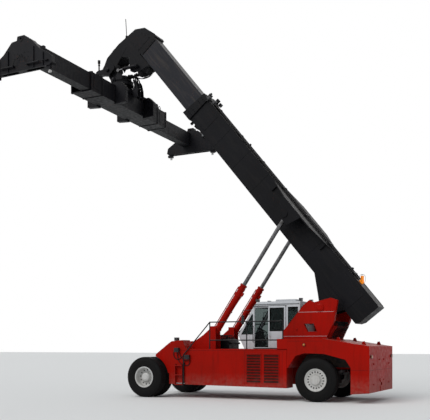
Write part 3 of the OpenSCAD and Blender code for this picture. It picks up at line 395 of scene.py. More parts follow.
def tinted_glass(name, colour):
    """Toughened glass: a green-grey tint, with a dust film that dulls it in patches."""
    finish, tree, shader, place = start_finish(name)
    dust = add(tree, "TexNoise", {"Vector": place, "Scale": 1 / 0.25, "Detail": 7.0})
    rough = add(tree, "MapRange", {0: dust.outputs["Fac"], 1: 0.4, 2: 0.8, 3: 0.02, 4: 0.14})
    tree.links.new(rough.outputs[0], shader.inputs["Roughness"])
    shader.inputs["Base Color"].default_value = hex_colour(colour)
    shader.inputs["Transmission Weight"].default_value = 0.92
    shader.inputs["IOR"].default_value = 1.1
    shader.inputs["Specular IOR Level"].default_value = 0.8
    return finish


def woven_cloth(name, colour, light):
    """Upholstery: a plain weave of 2 mm threads, drawn at 4 mm so that it shows."""
    finish, tree, shader, place = start_finish(name)
    scale = 1 / (4 * mm) / 20
    warp = add(tree, "TexWave", {"Vector": place, "Scale": scale, "Distortion": 0.6},
        bands_direction="Y")
    weft = add(tree, "TexWave", {"Vector": place, "Scale": scale, "Distortion": 0.6},
        bands_direction="Z")
    threads = add(tree, "Math", {0: warp.outputs["Fac"], 1: weft.outputs["Fac"]},
        operation="MAXIMUM")
    base = add(tree, "Mix", {0: threads.outputs[0], 6: hex_colour(colour), 7: hex_colour(light)},
        data_type="RGBA")
    tree.links.new(base.outputs[2], shader.inputs["Base Color"])
    shader.inputs["Roughness"].default_value = 0.9
    shader.inputs["Sheen Weight"].default_value = 0.25
    bump = add(tree, "Bump", {"Height": threads.outputs[0], "Strength": 0.4, "Distance": 0.001})
    tree.links.new(bump.outputs[0], shader.inputs["Normal"])
    return finish


# The cab's panes
cab_pane = tinted_glass("cab_pane", "5c6766")
# The seat's cover
seat_cloth = woven_cloth("seat_cloth", "16161a", "2f3036")
print("materials:", len(bpy.data.materials))

# %% [markdown]
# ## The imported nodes
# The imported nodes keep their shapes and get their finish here. A table says
# which nodes each finish goes to.

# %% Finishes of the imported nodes
node_finishes = {
    red_enamel: """frame housing_left housing_right deck mudguards counterweight tower
        lift_barrel_left lift_barrel_right lift_guards""",
    black_enamel: "boom_outer boom_pipes boom_head exhaust main_valve",
    worn_enamel: "boom_inner",
    spreader_enamel: """tilt_barrels yoke rotator spreader_frame spreader_valves
        spreader_arm_left spreader_arm_right""",
    rail_enamel: "rails_and_steps",
    white_enamel: "cab_shell cab_door",
    wheel_enamel: "rims_front_left rims_front_right rim_rear_left rim_rear_right",
    greasy_iron: "engine front_axle rear_axle knuckle_left knuckle_right",
    rod_chrome: "steering_rod lift_rod_left lift_rod_right tilt_rods",
    tyre_rubber: "tyres_front_left tyres_front_right tyre_rear_left tyre_rear_right",
    cab_pane: "cab_glass door_glass",
    seat_cloth: "seat",
    console_plastic: "console",
    lamp_plastic: "lamps",
    amber_lens: "beacon",
    bright_steel: "lock_front_left lock_rear_left lock_front_right lock_rear_right",
}
dressed = set()
for finish, names in node_finishes.items():
    for name in names.split():
        nodes[name].data.materials.clear()
        nodes[name].data.materials.append(finish)
        dressed.add(name)
print("nodes left without a finish:", sorted(set(nodes) - dressed))

# %% [markdown]
# ## How new pieces are made
# Fabricated steel is cut plate, turned parts and drawn tube, and each has its
# own small function here. A plate is a cube stretched by a matrix, with its
# edges broken as a grinder leaves them. A turned part is an outline spun round
# an axis. A cut plate is one face pushed out to its thickness. Each works in a
# straight drawing and is carried to its place by a matrix, which is the chassis's
# unless a call says another.

# %% Plates, bars and cut plates


def plate(bm, low, high, edge=4 * mm, place=chassis_place):
    """A flat bar or block between two corners, with its edges broken."""
    low, high = Vector(low), Vector(high)
    size = Matrix.Diagonal((*(high - low), 1))
    middle = Matrix.Translation((low + high) / 2)
    made = bmesh.ops.create_cube(bm, size=1, matrix=place @ middle @ size)
    edges = list(dict.fromkeys(e for v in made["verts"] for e in v.link_edges))
    if edge:
        bmesh.ops.bevel(bm, geom=edges, offset=edge, affect="EDGES", segments=1, profile=0.5,
            material=-1)


def bar(bm, start, end, radius, sides=12, tip=None, place=chassis_place):
    """A round bar between two points; six sides make a bolt head."""
    start, end = place @ Vector(start), place @ Vector(end)
    turn = Vector((0, 0, 1)).rotation_difference(end - start).to_matrix().to_4x4()
    bmesh.ops.create_cone(bm, cap_ends=True, segments=sides, radius1=radius,
        radius2=radius if tip is None else tip, depth=(end - start).length,
        matrix=Matrix.Translation((start + end) / 2) @ turn)


def cut_plate(bm, outline, start, end, edge=4 * mm, place=chassis_place):
    """A plate cut to an outline in X and Z, from start to end across the machine."""
    face = bm.faces.new([bm.verts.new(place @ Vector((x, start, z))) for x, z in outline])
    grown = bmesh.ops.extrude_face_region(bm, geom=[face])["geom"]
    corners = [v for v in grown if isinstance(v, bmesh.types.BMVert)]
    push = place.to_3x3() @ Vector((0, end - start, 0))
    bmesh.ops.translate(bm, verts=corners, vec=push)
    if edge:
        rims = [e for v in corners for e in v.link_edges if all(c in corners for c in e.verts)]
        bmesh.ops.bevel(bm, geom=list(dict.fromkeys(rims)), offset=edge, affect="EDGES", segments=1,
            profile=0.5, material=-1)


def bolts(bm, places, out, radius, height, place=chassis_place):
    """Hexagon heads on washers, each standing out along one direction."""
    for spot in places:
        spot, out = Vector(spot), Vector(out)
        bar(bm, spot, spot + out * height * 0.2, radius * 1.5, sides=10, place=place)
        bar(bm, spot + out * height * 0.15, spot + out * height, radius, sides=6, place=place)


def turns(count, first=0.0):
    """Equal turns round a circle, in radians."""
    return [first + 2 * math.pi * k / count for k in range(count)]


def ring(centre, radius, count, first=0.0):
    """Places round a circle whose axis runs across the machine."""
    x, y, z = centre
    return [(x + radius * math.cos(t), y, z + radius * math.sin(t)) for t in turns(count, first)]


def weld(bm, line, y, radius, closed=False, place=chassis_place):
    """A weld bead along a line of points in X and Z."""
    for start, end in zip(line, line[1:] + line[:1] if closed else line[1:]):
        bar(bm, (start[0], y, start[1]), (end[0], y, end[1]), radius, sides=8, place=place)


# %% Turned parts, routed tubes and finished pieces


def turned(bm, outline, centre, steps=48, closed=False, axis=(0, 1, 0), place=chassis_place):
    """An outline of (radius, distance) spun round an axis through centre."""
    along = Vector(axis)
    side = Vector((0, 0, 1)) if along.y else Vector((0, 1, 0))
    ring_of = [bm.verts.new(place @ (Vector(centre) + side * r + along * y)) for r, y in outline]
    following = ring_of[1:] + ring_of[:1] if closed else ring_of[1:]
    edges = [bm.edges.new(pair) for pair in zip(ring_of, following)]
    bmesh.ops.spin(bm, geom=ring_of + edges, cent=place @ Vector(centre),
        axis=place.to_3x3() @ along, angle=2 * math.pi, steps=steps, use_merge=True)
    bmesh.ops.remove_doubles(bm,
        verts=[v for v in bm.verts if v.is_valid and (v.is_boundary or not v.link_faces)],
        dist=1e-5)


def piece(bm, name, finishes, body, replaces=(), crease=35):
    """Closes a drawing as one object that rides on a body."""
    bmesh.ops.recalc_face_normals(bm, faces=bm.faces)
    mesh = bpy.data.meshes.new(name)
    bm.to_mesh(mesh)
    bm.free()
    finishes = finishes if isinstance(finishes, tuple) else (finishes,)
    for finish in finishes:
        mesh.materials.append(finish)
    mesh.polygons.foreach_set("use_smooth", [True] * len(mesh.polygons))
    mesh.set_sharp_from_angle(angle=math.radians(crease))
    made = bpy.data.objects.new(name, mesh)
    scene.collection.objects.link(made)
    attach(made, body)
    if replaces:
        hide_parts(*replaces)
    print(name, len(mesh.polygons), "faces")
    return made


def tubes(name, routes, radius, finish, body, place=chassis_place, flexible=False):
    """Hoses or pipes along smooth routes; a flexible one is made a mesh that rides on no body."""
    curve = bpy.data.curves.new(name, "CURVE")
    curve.dimensions = "3D"
    curve.bevel_depth = radius
    curve.bevel_resolution = 2
    curve.resolution_u = 6
    curve.use_fill_caps = True
    for route in routes:
        line = curve.splines.new("BEZIER")
        line.bezier_points.add(len(route) - 1)
        for point, spot in zip(line.bezier_points, route):
            point.co = place @ Vector(spot)
            point.handle_left_type = point.handle_right_type = "AUTO"
    curve.materials.append(finish)
    made = bpy.data.objects.new(name, curve)
    scene.collection.objects.link(made)
    if flexible:
        mesh = bpy.data.meshes.new_from_object(made)
        bpy.data.objects.remove(made)
        mesh.name = name
        made = bpy.data.objects.new(name, mesh)
        scene.collection.objects.link(made)
    else:
        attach(made, body)
    print(name, len(routes), "runs")
    return made


# %% [markdown]
# ## Tyres
# A port tyre has a broad flat tread cut in blocks, a rounded shoulder and a
# sidewall with a few moulded rings. Its section is drawn once and spun, and the
# tread faces are inset and raised, which leaves the grooves between them. Sixty
# steps give blocks about 78 mm long, and the rings need no more.

# %% Tyres
tyre_r, tread_from = 0.75, 0.715
tyre_half = [(0.376, 0.150), (0.394, 0.172), (0.398, 0.198), (0.420, 0.207), (0.465, 0.213),
    (0.472, 0.2085), (0.480, 0.213), (0.535, 0.215), (0.572, 0.2145), (0.579, 0.2095),
    (0.587, 0.2135), (0.640, 0.209), (0.682, 0.197), (0.710, 0.183), (0.732, 0.160), (0.742, 0.132),
    (0.742, 0.046)]
tyre_section = tyre_half + [(r, -y) for r, y in reversed(tyre_half)]
tread_steps = 60


def tyre(bm, x, y):
    """A tyre with its tread cut in blocks, at a place across the machine."""
    old = set(bm.faces)
    turned(bm, tyre_section, (x, y, tyre_r), steps=tread_steps, closed=True)
    new = [face for face in bm.faces if face not in old]
    middle = chassis_place @ Vector((x, y, tyre_r))
    tread = []
    for face in new:
        arm = face.calc_center_median() - middle
        if math.hypot(arm.x, arm.z) > tread_from:
            tread.append(face)
    bmesh.ops.recalc_face_normals(bm, faces=new)
    bmesh.ops.inset_individual(bm, faces=tread, thickness=6 * mm, depth=8 * mm,
        use_even_offset=True)


front_x, front_y, twin_pitch, rear_y = 6.55, 1.815, 0.52, 1.405
for side, word in ((1, "left"), (-1, "right")):
    bm = bmesh.new()
    tyre(bm, front_x, side * front_y)
    tyre(bm, front_x, side * (front_y - twin_pitch))
    piece(bm, f"front_tyres_{word}", tyre_rubber, f"front_wheels_{word}", (f"tyres_front_{word}",),
        crease=28)
    bm = bmesh.new()
    tyre(bm, 0, side * rear_y)
    piece(bm, f"rear_tyre_{word}", tyre_rubber, f"rear_wheel_{word}", (f"tyre_rear_{word}",),
        crease=28)

# %% [markdown]
# ## Wheels
# The rims are pressed and welded steel. The front ones have a deep dish with
# the planetary hub in it, and the rear ones a disc that is nearly flush, with a
# ring of hand holes and a low eight-sided hub. One closed section is spun for
# each, and the hand holes are pockets sunk in pairs of its disc faces.

# %% Wheel rims, hubs and nuts
flange = [(0.386, 0.200), (0.392, 0.190), (0.388, 0.178), (0.375, 0.168), (0.375, -0.168),
    (0.388, -0.178), (0.392, -0.190), (0.386, -0.200), (0.362, -0.198), (0.348, -0.186),
    (0.345, -0.150)]
deep_disc = [(0.338, -0.050), (0.300, -0.044), (0.160, -0.044), (0.160, -0.018), (0.215, -0.018),
    (0.235, -0.018), (0.275, -0.016), (0.300, -0.012), (0.324, 0.010), (0.334, 0.060),
    (0.344, 0.150), (0.348, 0.186), (0.362, 0.198)]
flush_disc = [(0.338, 0.120), (0.300, 0.128), (0.160, 0.128), (0.160, 0.156), (0.215, 0.158),
    (0.240, 0.162), (0.306, 0.165), (0.318, 0.164), (0.338, 0.172), (0.350, 0.190), (0.362, 0.198)]
rim_steps, hole_from, hole_to, hole_depth = 72, 0.24, 0.30, 18 * mm


def rim(bm, x, y, side, disc, hole_step):
    """A rim whose outer face looks to the given side, with pockets in its disc."""
    old = set(bm.faces)
    section = [(r, side * d) for r, d in flange + disc]
    turned(bm, section, (x, y, tyre_r), steps=rim_steps, closed=True)
    new = [face for face in bm.faces if face not in old]
    middle = chassis_place @ Vector((x, y, tyre_r))
    bmesh.ops.recalc_face_normals(bm, faces=new)
    holes = []
    for face in new:
        arm = face.calc_center_median() - middle
        radius, turn = math.hypot(arm.x, arm.z), math.degrees(math.atan2(arm.z, arm.x))
        step = int(turn % 360 // (360 / rim_steps))
        in_ring = hole_from < radius < hole_to and face.normal.y * side > 0.9
        if in_ring and step % hole_step < 2:
            holes.append(face)
    # First a narrow land round each pocket, then the pocket with its steep wall
    bmesh.ops.inset_region(bm, faces=holes, thickness=3 * mm, depth=0, use_even_offset=True)
    walls = bmesh.ops.inset_region(bm, faces=holes, thickness=mm, depth=-hole_depth,
        use_even_offset=True)["faces"]
    holes += walls
    # The pockets' faces take the second finish, painted shade in the hand holes
    for face in holes:
        face.material_index = 1
    return (len(holes) - len(walls)) // 2


for side, word in ((1, "left"), (-1, "right")):
    bm = bmesh.new()
    outer, inner = side * front_y, side * (front_y - twin_pitch)
    rim(bm, front_x, outer, side, deep_disc, 6)
    rim(bm, front_x, inner, -side, deep_disc, 6)
    hub = [(0.0, -0.52), (0.168, -0.52), (0.168, 0.050), (0.160, 0.072), (0.142, 0.082),
        (0.140, 0.100), (0.100, 0.110), (0.096, 0.122), (0.0, 0.124)]
    turned(bm, [(r, side * d) for r, d in hub], (front_x, outer, tyre_r), steps=40)
    bolts(bm, ring((front_x, outer - side * 0.018, tyre_r), 0.196, 20), (0, side, 0), 15 * mm,
        32 * mm)
    bolts(bm, ring((front_x, outer + side * 0.084, tyre_r), 0.126, 12), (0, side, 0), 8 * mm,
        10 * mm)
    piece(bm, f"front_rims_{word}", (wheel_enamel, dark_iron_and_painted_shade), f"front_wheels_{word}",
        (f"rims_front_{word}",))
    bm = bmesh.new()
    middle = (0, side * rear_y, tyre_r)
    count = rim(bm, 0, side * rear_y, side, flush_disc, 4)
    turned(bm, [(r, side * d) for r, d in [(0.0, 0.02), (0.165, 0.02), (0.165, 0.17),
        (0.0, 0.171)]], middle, steps=32)
    turned(bm, [(r, side * d) for r, d in [(0.0, 0.160), (0.176, 0.160), (0.176, 0.196),
        (0.160, 0.212), (0.0, 0.213)]], middle, steps=8)
    bolts(bm, ring((0, side * (rear_y + 0.158), tyre_r), 0.197, 20, 0.05), (0, side, 0), 12 * mm,
        28 * mm)
    bolts(bm, ring((0, side * (rear_y + 0.212), tyre_r), 0.10, 8), (0, side, 0), 9 * mm, 9 * mm)
    piece(bm, f"rear_rim_{word}", (wheel_enamel, dark_iron_and_painted_shade), f"rear_wheel_{word}",
        (f"rim_rear_{word}",))
    print("hand holes:", count)

# %% [markdown]
# ## Radiator and engine vents
# The side housings breathe through two vents each. Behind a wire mesh lie the
# slats, which the CAD model has. The mesh could be a texture, but real wires
# catch the light and cast shadows on the slats. They are 13 mm strips on a 20 mm
# pitch here, in a frame of flat bar with bolts at its corners.

# %% Vent screens
body_half_w, deck_z = 1.6, 1.8
vents = ((1.33, 1.88), (2.01, 2.54))
vent_low, vent_high, wire_pitch = 0.62, 1.62, 20 * mm
for side, word in ((1, "left"), (-1, "right")):
    bm = bmesh.new()
    y = side * (body_half_w + 6 * mm)
    for x0, x1 in vents:
        across, up = round((x1 - x0) / wire_pitch), round((vent_high - vent_low) / wire_pitch)
        for k in range(1, across):
            x = x0 + (x1 - x0) * k / across
            bar(bm, (x, y, vent_low), (x, y, vent_high), 6.4 * mm, sides=4)
        for k in range(1, up):
            z = vent_low + (vent_high - vent_low) * k / up
            bar(bm, (x0, y, z), (x1, y, z), 6.4 * mm, sides=4)
    piece(bm, f"vent_mesh_{word}", grille_red_and_painted_shade, "chassis")
    bm = bmesh.new()
    near, far = side * body_half_w, side * (body_half_w + 12 * mm)
    for x0, x1 in vents:
        for low, high in (((x0 - 0.03, vent_low - 0.03), (x1 + 0.03, vent_low)),
                ((x0 - 0.03, vent_high), (x1 + 0.03, vent_high + 0.03)),
                ((x0 - 0.03, vent_low), (x0, vent_high)), ((x1, vent_low), (x1 + 0.03, vent_high))):
            plate(bm, (low[0], near, low[1]), (high[0], far, high[1]), 2 * mm)
        spots = [(x, far, z) for x in (x0 - 0.015, x1 + 0.015) for z in (0.66, 0.98, 1.3, 1.58)]
        bolts(bm, spots, (0, side, 0), 6 * mm, 7 * mm)
    piece(bm, f"vent_frames_{word}", red_enamel, "chassis")

# %% [markdown]
# ## Side housings
# The housings are boxes of folded sheet with doors for service. Their doors
# show as thin gaps, hinges and turned latches, and bolts hold the covers. A gap
# is drawn as a strip of painted shade 6 mm wide and 1.5 mm proud, which reads as
# a gap from a step away; the hinges and latches are shaped. The left side is one
# long skin ahead of the vents, and the right side opens to the engine's filters.

# %% Doors, hinges and latches of the housings
for side, word in ((1, "left"), (-1, "right")):
    y = side * body_half_w
    bm = bmesh.new()
    doors = (1.20, 2.62) if side == 1 else (1.20, 2.62, 3.42, 4.22)
    # Strips of painted shade stand for the gaps round the doors
    for x in doors:
        plate(bm, (x - 3 * mm, y, 0.52), (x + 3 * mm, y + side * 1.5 * mm, 1.72), 0)
    plate(bm, (1.10, y, 1.738), (5.60, y + side * 1.5 * mm, 1.744), 0)
    plate(bm, (2.62, y, 0.520), (doors[-1], y + side * 1.5 * mm, 0.526), 0)
    piece(bm, f"door_gap_shade_{word}", gasket_rubber_and_gap_shade, "chassis")
    bm = bmesh.new()
    for x in [x + 0.08 for x in doors[1:-1]]:
        for z in (0.75, 1.10, 1.50):
            plate(bm, (x - 0.05, y, z - 0.035), (x, y + side * 7 * mm, z + 0.035), 2 * mm)
            bar(bm, (x - 0.056, y + side * 9 * mm, z - 0.04),
                (x - 0.056, y + side * 9 * mm, z + 0.04), 8 * mm)
    for x in [x - 0.08 for x in doors[2:]]:
        plate(bm, (x - 0.07, y, 1.08), (x + 0.02, y + side * 8 * mm, 1.16), 3 * mm)
        bar(bm, (x - 0.03, y, 1.12), (x - 0.03, y + side * 22 * mm, 1.12), 14 * mm)
        plate(bm, (x - 0.09, y + side * 20 * mm, 1.11), (x, y + side * 30 * mm, 1.13), 3 * mm)
    spots = [(1.12 + 0.34 * k, y, 1.772) for k in range(14)] + [(1.12 + 0.5 * k, y, 0.49)
        for k in range(9)]
    bolts(bm, spots, (0, side, 0), 8 * mm, 9 * mm)
    piece(bm, f"housing_fittings_{word}", red_enamel, "chassis")
    # Inner walls of the rear arches keep daylight out from above the axle, and their dark finish is
    # painted shade
    bm = bmesh.new()
    arch = [(-1.19, 1.16), (-1.19, 1.20), (-1.03, 1.436), (-0.30, 1.630), (0.40, 1.650),
        (0.715, 1.560), (0.97, 1.19), (0.97, 1.16)]
    cut_plate(bm, arch, side * 0.500, side * 0.510, 0)
    piece(bm, f"arch_wall_{word}", dark_iron_and_painted_shade, "chassis")

# %% [markdown]
# ## Lamps
# The work lamps are plastic boxes with a clear lens behind a rim. The tail
# lamps have red lenses, and the small round one beside the cab is amber. The
# CAD lamps stay as the housings, in dark plastic, and the lenses and rims are
# set on them. The side lamps shine forward, past the front tyres, so from the
# side they are dark, ribbed to shed heat, with their cables.

# %% Lenses, rims and cables
lamp_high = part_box("lamps")[1]
lens = bmesh.new()
rims = bmesh.new()
red = bmesh.new()
amber = bmesh.new()
for side in (1, -1):
    for x, z in ((5.33, 1.76), (4.89, 1.50)):
        y, front = side * 1.73, x + 0.085
        plate(lens, (front, side * 1.622, z - 0.066), (front + 6 * mm, side * 1.716, z + 0.066),
            3 * mm)
        for y0, y1, z0, z1 in ((1.61, 1.73, -0.08, -0.066), (1.61, 1.73, 0.066, 0.08),
                (1.61, 1.622, -0.066, 0.066), (1.716, 1.73, -0.066, 0.066)):
            plate(rims, (front, side * y0, z + z0), (front + 12 * mm, side * y1, z + z1), 2 * mm)
        for k in range(7):
            plate(rims, (x - 0.066 + 0.022 * k - 3 * mm, y, z - 0.066),
                (x - 0.066 + 0.022 * k + 3 * mm, y + side * 9 * mm, z + 0.066), 0)
    front, top = lamp_high.x - axle_x, lamp_high.z
    plate(lens, (front, side * 1.37, top - 0.11), (front + 5 * mm, side * 1.53, top - 0.012),
        2 * mm)
    plate(red, (-1.896, side * 1.31, 1.51), (-1.889, side * 1.39, 1.59), 2 * mm)
    plate(amber, (-1.896, side * 1.395, 1.51), (-1.889, side * 1.47, 1.59), 2 * mm)
    turned(amber, [(0.0, 0.012 * side), (0.026, 0.010 * side), (0.038, 0.003 * side), (0.040, 0.0),
        (0.0, -0.001 * side)], (0.404, side * 1.63, 1.95), steps=24)
    turned(rims, [(0.039, 0.0), (0.041, 0.010 * side), (0.050, 0.010 * side), (0.052, 0.0)],
        (0.404, side * 1.629, 1.95), steps=24, closed=True)
# The cables loop down the skin in loose bundles, and the low step has bare edges
for side, word in ((1, "left"), (-1, "right")):
    out = side * (body_half_w + 14 * mm)
    routes = [[(5.26, 1.68), (5.20, 1.52), (5.08, 1.40), (4.97, 1.36), (4.89, 1.42)],
        [(5.33, 1.68), (5.32, 1.46), (5.22, 1.28), (5.10, 1.22), (5.02, 1.30)],
        [(5.45, 1.80), (5.50, 1.62), (5.44, 1.46), (5.28, 1.42), (5.12, 1.52), (4.97, 1.52)],
        [(4.83, 1.42), (4.82, 1.30), (4.88, 1.21), (5.00, 1.20), (5.06, 1.28)]]
    routes = [[(x, out + side * 6 * mm * (k % 2), z) for k, (x, z) in enumerate(route)]
        for route in routes]
    tubes(f"lamp_cables_{word}", routes, 13 * mm, hose_rubber, "chassis")
    bm = bmesh.new()
    plate(bm, (5.02, side * body_half_w, 0.522), (5.39, side * (body_half_w + 0.05), 0.548), 3 * mm)
    piece(bm, f"low_step_{word}", bright_steel, "chassis")
piece(lens, "lamp_lenses", clear_lens, "chassis")
piece(rims, "lamp_rims", lamp_plastic, "chassis")
piece(red, "tail_lenses", red_lens, "chassis")
piece(amber, "side_marker_lenses", amber_side_lens, "chassis")

# %% [markdown]
# ## The cab
# The cab is a welded frame with bonded panes. Each pane sits in a black rubber
# gasket, and a wiper, mirrors, roof lamps and the rails of the sliding door
# hang on the outside. A gasket is made by insetting the pane's outline and
# keeping only the rim, which gives corners that fit any angle.

# %% Gaskets round the panes
cab_y = 0.78


def gasket(bm, corners, out, width=22 * mm, height=9 * mm):
    """A rubber rim along the outline of a pane, standing out along one direction."""
    face = bm.faces.new([bm.verts.new(chassis_place @ Vector(c)) for c in corners])
    out = Vector(out).normalized()
    bm.normal_update()
    rims = bmesh.ops.inset_region(bm, faces=[face], thickness=width, use_boundary=True,
        use_even_offset=True)["faces"]
    bmesh.ops.delete(bm, geom=[face], context="FACES_ONLY")
    grown = bmesh.ops.extrude_face_region(bm, geom=rims)["geom"]
    bmesh.ops.translate(bm, verts=[v for v in grown if isinstance(v, bmesh.types.BMVert)],
        vec=out * height)


bm = bmesh.new()
for side in (1, -1):
    y = side * (cab_y + mm)
    for pane in (((2.66, 2.33), (3.13, 2.33), (2.70, 3.06), (2.66, 3.06)),
            ((0.93, 2.65), (1.30, 2.65), (1.30, 3.30), (0.93, 3.30))):
        gasket(bm, [(x, y, z) for x, z in pane], (0, side, 0))
gasket(bm, [(x, -cab_y - mm, z) for x, z in ((1.40, 2.42), (1.98, 2.42), (1.98, 3.24),
    (1.40, 3.24))], (0, -1, 0))
gasket(bm, [(0.849, y, z) for y, z in ((-0.66, 2.70), (0.66, 2.70), (0.66, 3.30), (-0.66, 3.30))],
    (-1, 0, 0))
low_front, high_front = Vector((3.228, 0, 2.337)), Vector((2.594, 0, 3.372))
slope = (high_front - low_front).normalized()
screen_out = Vector((slope.z, 0, -slope.x))
screen = [low_front + Vector((0, -0.69, 0)), low_front + Vector((0, 0.69, 0)),
    high_front + Vector((0, 0.69, 0)), high_front + Vector((0, -0.69, 0))]
gasket(bm, [p + screen_out * 2 * mm for p in screen], screen_out)
piece(bm, "cab_gaskets", gasket_rubber_and_gap_shade, "chassis")
bm = bmesh.new()
gasket(bm, [(x, 0.822, z) for x, z in ((1.44, 2.44), (1.99, 2.44), (1.99, 3.28), (1.44, 3.28))],
    (0, 1, 0))
piece(bm, "door_gasket", gasket_rubber_and_gap_shade, "door")

# %% Wiper, mirrors, roof lamps, door rails and grab bars
bm = bmesh.new()
wiper_foot = low_front + slope * 0.02 + screen_out * 0.03
for y, reach in ((0.05, 0.52), (0.11, 0.42)):
    end = wiper_foot + slope * reach + Vector((0, 0.34, 0))
    bar(bm, wiper_foot + Vector((0, y, 0)), end, 6 * mm, sides=8)
blade = wiper_foot + slope * 0.47 + Vector((0, 0.34, 0)) - screen_out * 0.01
bar(bm, blade - slope * 0.34, blade + slope * 0.30, 8 * mm, sides=6)
bar(bm, wiper_foot + Vector((0, 0.08, 0)) - screen_out * 0.03,
    wiper_foot + Vector((0, 0.08, 0)) + screen_out * 0.02, 24 * mm)
for side in (1, -1):
    # A mirror on a bent arm at each front corner
    start, knee = (2.72, side * cab_y, 3.22), (2.98, side * 0.98, 3.20)
    head = (2.98, side * 0.98, 2.96)
    bar(bm, start, knee, 10 * mm)
    bar(bm, knee, head, 10 * mm)
    plate(bm, (2.955, side * 0.98 - 0.09, 2.70), (3.0, side * 0.98 + 0.09, 3.02), 14 * mm)
    # Rails that the door slides on, and the rain channel over the windows
    if side == 1:
        for z in (1.83, 3.352):
            plate(bm, (1.36, 0.781, z - 0.016), (2.64, 0.812, z + 0.006), 3 * mm)
    plate(bm, (0.87, side * 0.781, 3.40), (2.60, side * 0.800, 3.415), 3 * mm)
    bar(bm, (2.64, side * 0.83, 2.05), (2.64, side * 0.83, 2.62), 11 * mm)
    for z in (2.05, 2.62):
        bar(bm, (2.64, side * 0.78, z), (2.64, side * 0.84, z), 11 * mm)
piece(bm, "cab_fittings", lamp_plastic, "chassis")
bm = bmesh.new()
glass = bmesh.new()
for y in (-0.55, 0.55):
    for x, way in ((2.56, 1), (0.90, -1)):
        plate(bm, (x - 0.05, y - 0.08, 3.515), (x + 0.05, y + 0.08, 3.615), 10 * mm)
        bar(bm, (x, y, 3.49), (x, y, 3.52), 12 * mm)
        plate(glass, (x + way * 0.049, y - 0.066, 3.528), (x + way * 0.056, y + 0.066, 3.602),
            3 * mm)
        plate(bm, (x + way * 0.046, y - 0.08, 3.602), (x + way * 0.062, y + 0.08, 3.615), 3 * mm)
piece(bm, "roof_lamps", lamp_plastic, "chassis")
piece(glass, "roof_lamp_lenses", clear_lens, "chassis")
bm = bmesh.new()
# Roof skin: a raised panel with a hatch, ribs and the air unit's cover
plate(bm, (1.0, -0.62, 3.498), (2.40, 0.62, 3.512), 5 * mm)
plate(bm, (1.15, -0.36, 3.508), (1.95, 0.36, 3.60), 25 * mm)
for k in range(6):
    plate(bm, (1.146, -0.28 + 0.1 * k, 3.53), (1.152, -0.22 + 0.1 * k, 3.575), 0)
for side in (1, -1):
    bar(bm, (1.04, side * 0.66, 3.507), (2.38, side * 0.66, 3.507), 9 * mm)
spots = [(1.05 + 0.26 * k, side * 0.59, 3.511) for k in range(6) for side in (1, -1)]
bolts(bm, spots, (0, 0, 1), 7 * mm, 8 * mm)
piece(bm, "roof_cover", white_enamel, "chassis")

# %% [markdown]
# ## The seat
# The driver's seat is foam under woven cloth, on a pedestal with a rubber
# bellows. Foam bulges between its seams and pulls in at its edges, so cushion
# and back are closed shapes with a crown, swollen by the cloth simulation that
# air pressure drives, and then smoothed. The cloth may move them 12 mm at most.

# %% Cushion and backrest
floor_top, cloth_frames, most_swelling = 1.851, 12, 12 * mm
seam_y, seam_width, seam_depth = 0.13, 0.03, 0.09


def apply_modifiers(pad):
    """Gives the pad the mesh that its modifiers make, and takes them off."""
    graph = bpy.context.evaluated_depsgraph_get()
    pad_mesh = bpy.data.meshes.new_from_object(pad.evaluated_get(graph))
    pad.modifiers.clear()
    pad.data = pad_mesh
    return pad_mesh


def stuffed(name, low, high, lean, body):
    """A foam pad under cloth: a bevelled block, remeshed, blown up a little and smoothed."""
    bm = bmesh.new()
    plate(bm, low, high, 38 * mm)
    middle = chassis_place @ ((Vector(low) + Vector(high)) / 2)
    foot = Vector((middle.x, 0, chassis_place.to_translation().z + low[2]))
    bmesh.ops.rotate(bm, verts=bm.verts, cent=foot, matrix=Matrix.Rotation(lean, 3, "Y"))
    bmesh.ops.recalc_face_normals(bm, faces=bm.faces)
    mesh = bpy.data.meshes.new(name)
    bm.to_mesh(mesh)
    bm.free()
    pad = bpy.data.objects.new(name, mesh)
    scene.collection.objects.link(pad)
    remesh = pad.modifiers.new("remesh", "REMESH")
    remesh.mode = "VOXEL"
    remesh.voxel_size = 14 * mm
    rest = [v.co.copy() for v in apply_modifiers(pad).vertices]
    cloth = pad.modifiers.new("cloth", "CLOTH")
    cloth.settings.use_pressure = True
    cloth.settings.uniform_pressure_force = 4
    cloth.settings.effector_weights.gravity = 0
    for step in range(1, cloth_frames + 1):
        scene.frame_set(step)
    apply_modifiers(pad)
    scene.frame_set(1)
    bm = bmesh.new()
    bm.from_mesh(pad.data)
    for vert, start in zip(bm.verts, rest):
        move = vert.co - start
        if move.length > most_swelling:
            vert.co = start + move.normalized() * most_swelling
    for _ in range(2):
        bmesh.ops.smooth_vert(bm, verts=bm.verts, factor=0.5, use_axis_x=True, use_axis_y=True,
            use_axis_z=True)
    # Two sewn channels run down the pad, where the cloth is drawn into the foam
    for vert in bm.verts:
        for seam in (-seam_y, seam_y):
            away = abs(vert.co.y - seam)
            if away < seam_width:
                toward = middle - vert.co
                toward.y = 0
                vert.co += toward * seam_depth * (1 - away / seam_width) ** 2
    finished = bpy.data.meshes.new(name + "_cloth")
    bm.to_mesh(finished)
    bm.free()
    finished.materials.append(seat_cloth)
    finished.polygons.foreach_set("use_smooth", [True] * len(finished.polygons))
    pad.data = finished
    smooth = pad.modifiers.new("smooth", "SUBSURF")
    smooth.levels = smooth.render_levels = 1
    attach(pad, body)
    moves = [(v.co - r).length for v, r in zip(finished.vertices, rest)]
    print(name, "moved by", round(max(moves) * 1000), "mm at most")
    return pad


